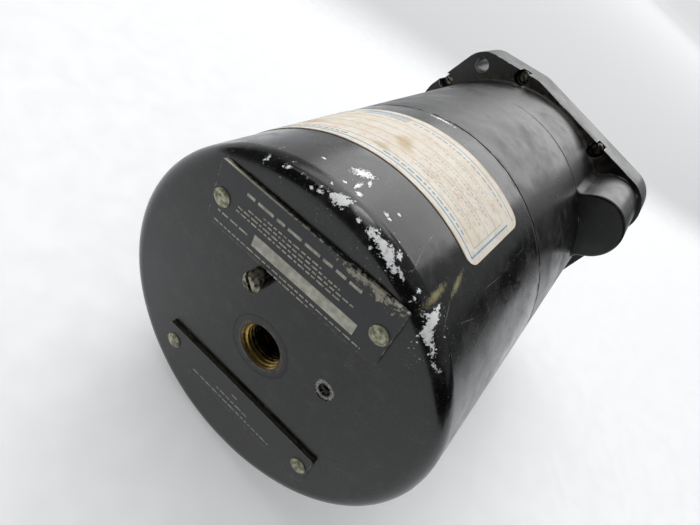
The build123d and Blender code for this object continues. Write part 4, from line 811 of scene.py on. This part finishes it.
def dial_number(text, x, z, size):
    """A number as closed mesh points and faces on the dial: the text's x and y become x and z."""
    curve = bpy.data.curves.new("number", "FONT")
    curve.body, curve.size, curve.extrude = text, size, 0.03
    curve.align_x, curve.align_y = "CENTER", "CENTER"
    holder = new_object("number", curve)
    mesh = bpy.data.meshes.new_from_object(holder)
    flat = np.array([vertex.co for vertex in mesh.vertices])
    points = np.stack([flat[:, 0] + x, DIAL_FACE - flat[:, 2], flat[:, 1] + z], -1)
    faces = [list(p.vertices) for p in mesh.polygons]
    bpy.data.objects.remove(holder)
    bpy.data.meshes.remove(mesh)
    return points, faces


NUMBERS = {0: "0", 0.5: ".5", 1: "1", 2: "2", 4: "4", 6: "6"}  # 3 and 5 have a tick only
number_points, number_faces, count = [], [], 0
for value, text in NUMBERS.items():
    r, size = (22.4, 6.4) if len(text) == 1 else (22.0, 4.8)
    for way in (1, -1) if value else (1,):
        turn = math.radians(180 - way * dict(SCALE)[value])
        points, faces = dial_number(text, r * math.cos(turn), r * math.sin(turn), size)
        number_points.append(points)
        number_faces += [[i + count for i in face] for face in faces]
        count += len(points)
make_piece("dial_numbers", np.concatenate(number_points), number_faces, mark_white,
           "case", "dial_paint")
arrow = np.array([(-9.0, 0, 11.6), (-6.6, 0, 11.6), (-7.8, 0, 14.4)])
arrows = np.concatenate([arrow + (0, DIAL_FACE + 0.01, 0), arrow + (0, DIAL_FACE - 0.03, 0)])
arrows = np.concatenate([arrows, arrows * (1, 1, -1)])
wedge = [[0, 1, 2], [3, 4, 5], [0, 1, 4, 3], [1, 2, 5, 4], [2, 0, 3, 5]]
make_piece("dial_arrows", arrows, wedge + [[i + 6 for i in face] for face in wedge], mark_white,
           "case", "dial_paint")
print("ticks:", len(ticks), " vertices in the numbers:", count)

# %% [markdown]
# The instrument lies on its side on a pale table, on the edge of its flange and on the rear rim, so
# the table leans by less than a degree in the instrument's frame. It curves up far away into a pale
# wall, as a photographer's paper sweep does, so that only a very low view meets an edge. It is a
# surface of two parameters: the angle round the instrument, and the way out along the sweep.

# %% Table and sweep
FLANGE_EDGE, SLIT = 41.1, 0.02  # the flange's edge stands here, this far above the table
lean = (FLANGE_EDGE - BARREL) / ARC_Y
SWEEP_START, SWEEP_TURN, WALL_HEIGHT = 4200.0, 500.0, 900.0


def sweep(angles=72):
    """The way out gives a radius and a height: flat up to the start of the turn, then a quarter
    circle, then straight up. The height leans with y by the table's own slope."""
    bend = np.linspace(0, np.pi / 2, 9)
    radius = np.concatenate([[0, 60, 200, 700, 1600], SWEEP_START + SWEEP_TURN * np.sin(bend)])
    height = np.concatenate([np.zeros(5), SWEEP_TURN * (1 - np.cos(bend))])
    radius = np.append(radius, radius[-1])[None, :]
    height = np.append(height, WALL_HEIGHT)[None, :]
    angle = np.linspace(0, 2 * np.pi, angles, endpoint=False)[:, None]
    x, y = radius * np.cos(angle), radius * np.sin(angle)
    points = np.stack([x, y, height - FLANGE_EDGE - SLIT + lean * y], -1).reshape(-1, 3)
    # turned over, because the upper side is the one that is seen
    return points, [face[::-1] for face in grid_faces(angles, radius.size)]


# past a slanting line in front of the dial the board is greyer: where the way towards AWAY grows
# from the first of these distances to the second
AWAY, GREY_FROM, GREY_TO = (0.68, -0.73, 0), 140.0, 240.0
NEAR, FAR, NEAR_GLOW, FAR_GLOW = -300.0, -4200.0, 0.29, 0.60


def pale_board():
    """Matt white board that glows a little for the eye and in mirrors, but lights nothing."""
    m, place = new_material("matt_white_board")
    far = add(m, "VectorMath.DOT_PRODUCT", place, AWAY).outputs["Value"]
    far = add(m, RAMP, far, GREY_FROM, GREY_TO)
    white = add(m, MIX, patches(m, place, 6.0, 0.3, 0.7, 1.0), "#dcdee0", "#e4e6e8")
    white = add(m, MIX, far, white, "#9c9ea1")
    # no lamp stands over the far end of the board
    y = add(m, "SeparateXYZ", place).outputs["Y"]
    glow = add(m, RAMP, y, NEAR, FAR, NEAR_GLOW, FAR_GLOW)
    path = add(m, "LightPath").outputs
    seen = add(m, HIGHER, path["Is Camera Ray"],
               add(m, HIGHER, path["Is Glossy Ray"], path["Is Transmission Ray"]))
    return finish(m, Base_Color=white, Roughness=0.6, Specular_IOR_Level=0.2,
                  Emission_Color="#ffffff", Emission_Strength=add(m, TIMES, seen, glow))


table = new_shape("table_top", *sweep(), pale_board())
print("the table leans by", round(math.degrees(math.atan(lean)), 2), "degrees")

# %% [markdown]
# The camera stands where the photographer's did: behind the instrument and above it, close, and
# rolled a good deal. Its place was fitted to the ellipses of the barrel and the corners of the
# flange. The light is a large soft window, a second lamp high up and a dim, even room. Black paint
# shows little but what it mirrors. The photograph's own reflections say what stood around: the
# barrel mirrors a window that starts 13 degrees up, the rim mirrors more light high on the +X
# side, and both mirror black behind the camera and low on the other side. Black cards stand there.

# %% Camera
CAMERA = (-9.5, 179.1, 84.9)  # millimetres
RIGHT, LOOK = (-0.6389, -0.5565, 0.5311), (0.107, -0.748, -0.655)
camera = new_object("camera", bpy.data.cameras.new("camera"))
bpy.context.scene.camera = camera
right, look = Vector(RIGHT).normalized(), Vector(LOOK).normalized()
right = (right - right.dot(look) * look).normalized()
up = right.cross(look)
turn = Matrix((right, up, -look)).transposed().to_4x4()
camera.matrix_world = Matrix.Translation(Vector(CAMERA) * MM) @ turn
camera.data.lens, camera.data.sensor_width = 26.15, 36.0
camera.data.clip_start = 0.005
print("lens:", camera.data.lens, "mm")

# %% Light
def lamp(name, place, size, power):
    """A rectangular soft lamp at place, in metres, that faces the instrument, with its power in
    watts."""
    light = bpy.data.lights.new(name, "AREA")
    light.shape, light.size, light.size_y, light.energy = "RECTANGLE", *size, power
    holder = new_object(name, light)
    holder.location = place
    holder.rotation_euler = (-Vector(place)).to_track_quat("-Z", "Y").to_euler()
    holder.visible_camera = False


def on_sky(turn, height, reach):
    """The point reach metres away, turn degrees from straight ahead (-Y) towards +X and height
    degrees up: reach times (sin turn cos height, -cos turn cos height, sin height)."""
    turn, height = np.radians(turn), np.radians(height)
    return reach * np.stack([np.sin(turn) * np.cos(height), -np.cos(turn) * np.cos(height),
                             np.sin(height) + 0 * turn], -1)


lamp("window", on_sky(15, 27, 3.0), (3.0, 1.6), 33.0)
lamp("skylight", on_sky(60, 57, 3.0), (3.5, 2.1), 60.0)
ROOM_LEVEL = 0.35  # the dim room's brightness; white is 1


def pale_room():
    """A dim room for what it lights and what mirrors show; white where the camera looks at it."""
    world = bpy.data.worlds.new("pale_room")
    world.use_nodes = True
    world.node_tree.nodes.clear()
    path = add(world, "LightPath").outputs
    seen = add(world, HIGHER, path["Is Camera Ray"], path["Is Transmission Ray"])
    level = add(world, LINE, seen, 0.0, 1.0, ROOM_LEVEL, 1.0)
    add(world, "OutputWorld", add(world, "Background", "#f4f6f8", level))
    return world


bpy.context.scene.world = pale_room()


def card(name, turns, heights, reach):
    """A black card that is a piece of a sphere round the instrument, between two turns and two
    heights. Only mirrors show it: the camera never sees it, and it takes no light away."""
    across, upright = 25, 9
    turn, height = np.meshgrid(np.linspace(*turns, across), np.linspace(*heights, upright),
                               indexing="ij")
    material = finish(new_material(name + "_card")[0], Base_Color="#0c0c0c", Roughness=0.9)
    piece = new_shape(name, on_sky(turn, height, reach).reshape(-1, 3) / MM,
                      grid_faces(across, upright, round_rows=False), material)
    piece.visible_camera = piece.visible_diffuse = piece.visible_shadow = False


card("dark_behind", (92, 262), (-6, 28), 0.6)
card("dark_above_behind", (120, 240), (28, 52), 0.6)
card("dark_far_side", (-98, -19), (-1, 15), 1.2)
bpy.context.scene.view_settings.view_transform = "Standard"
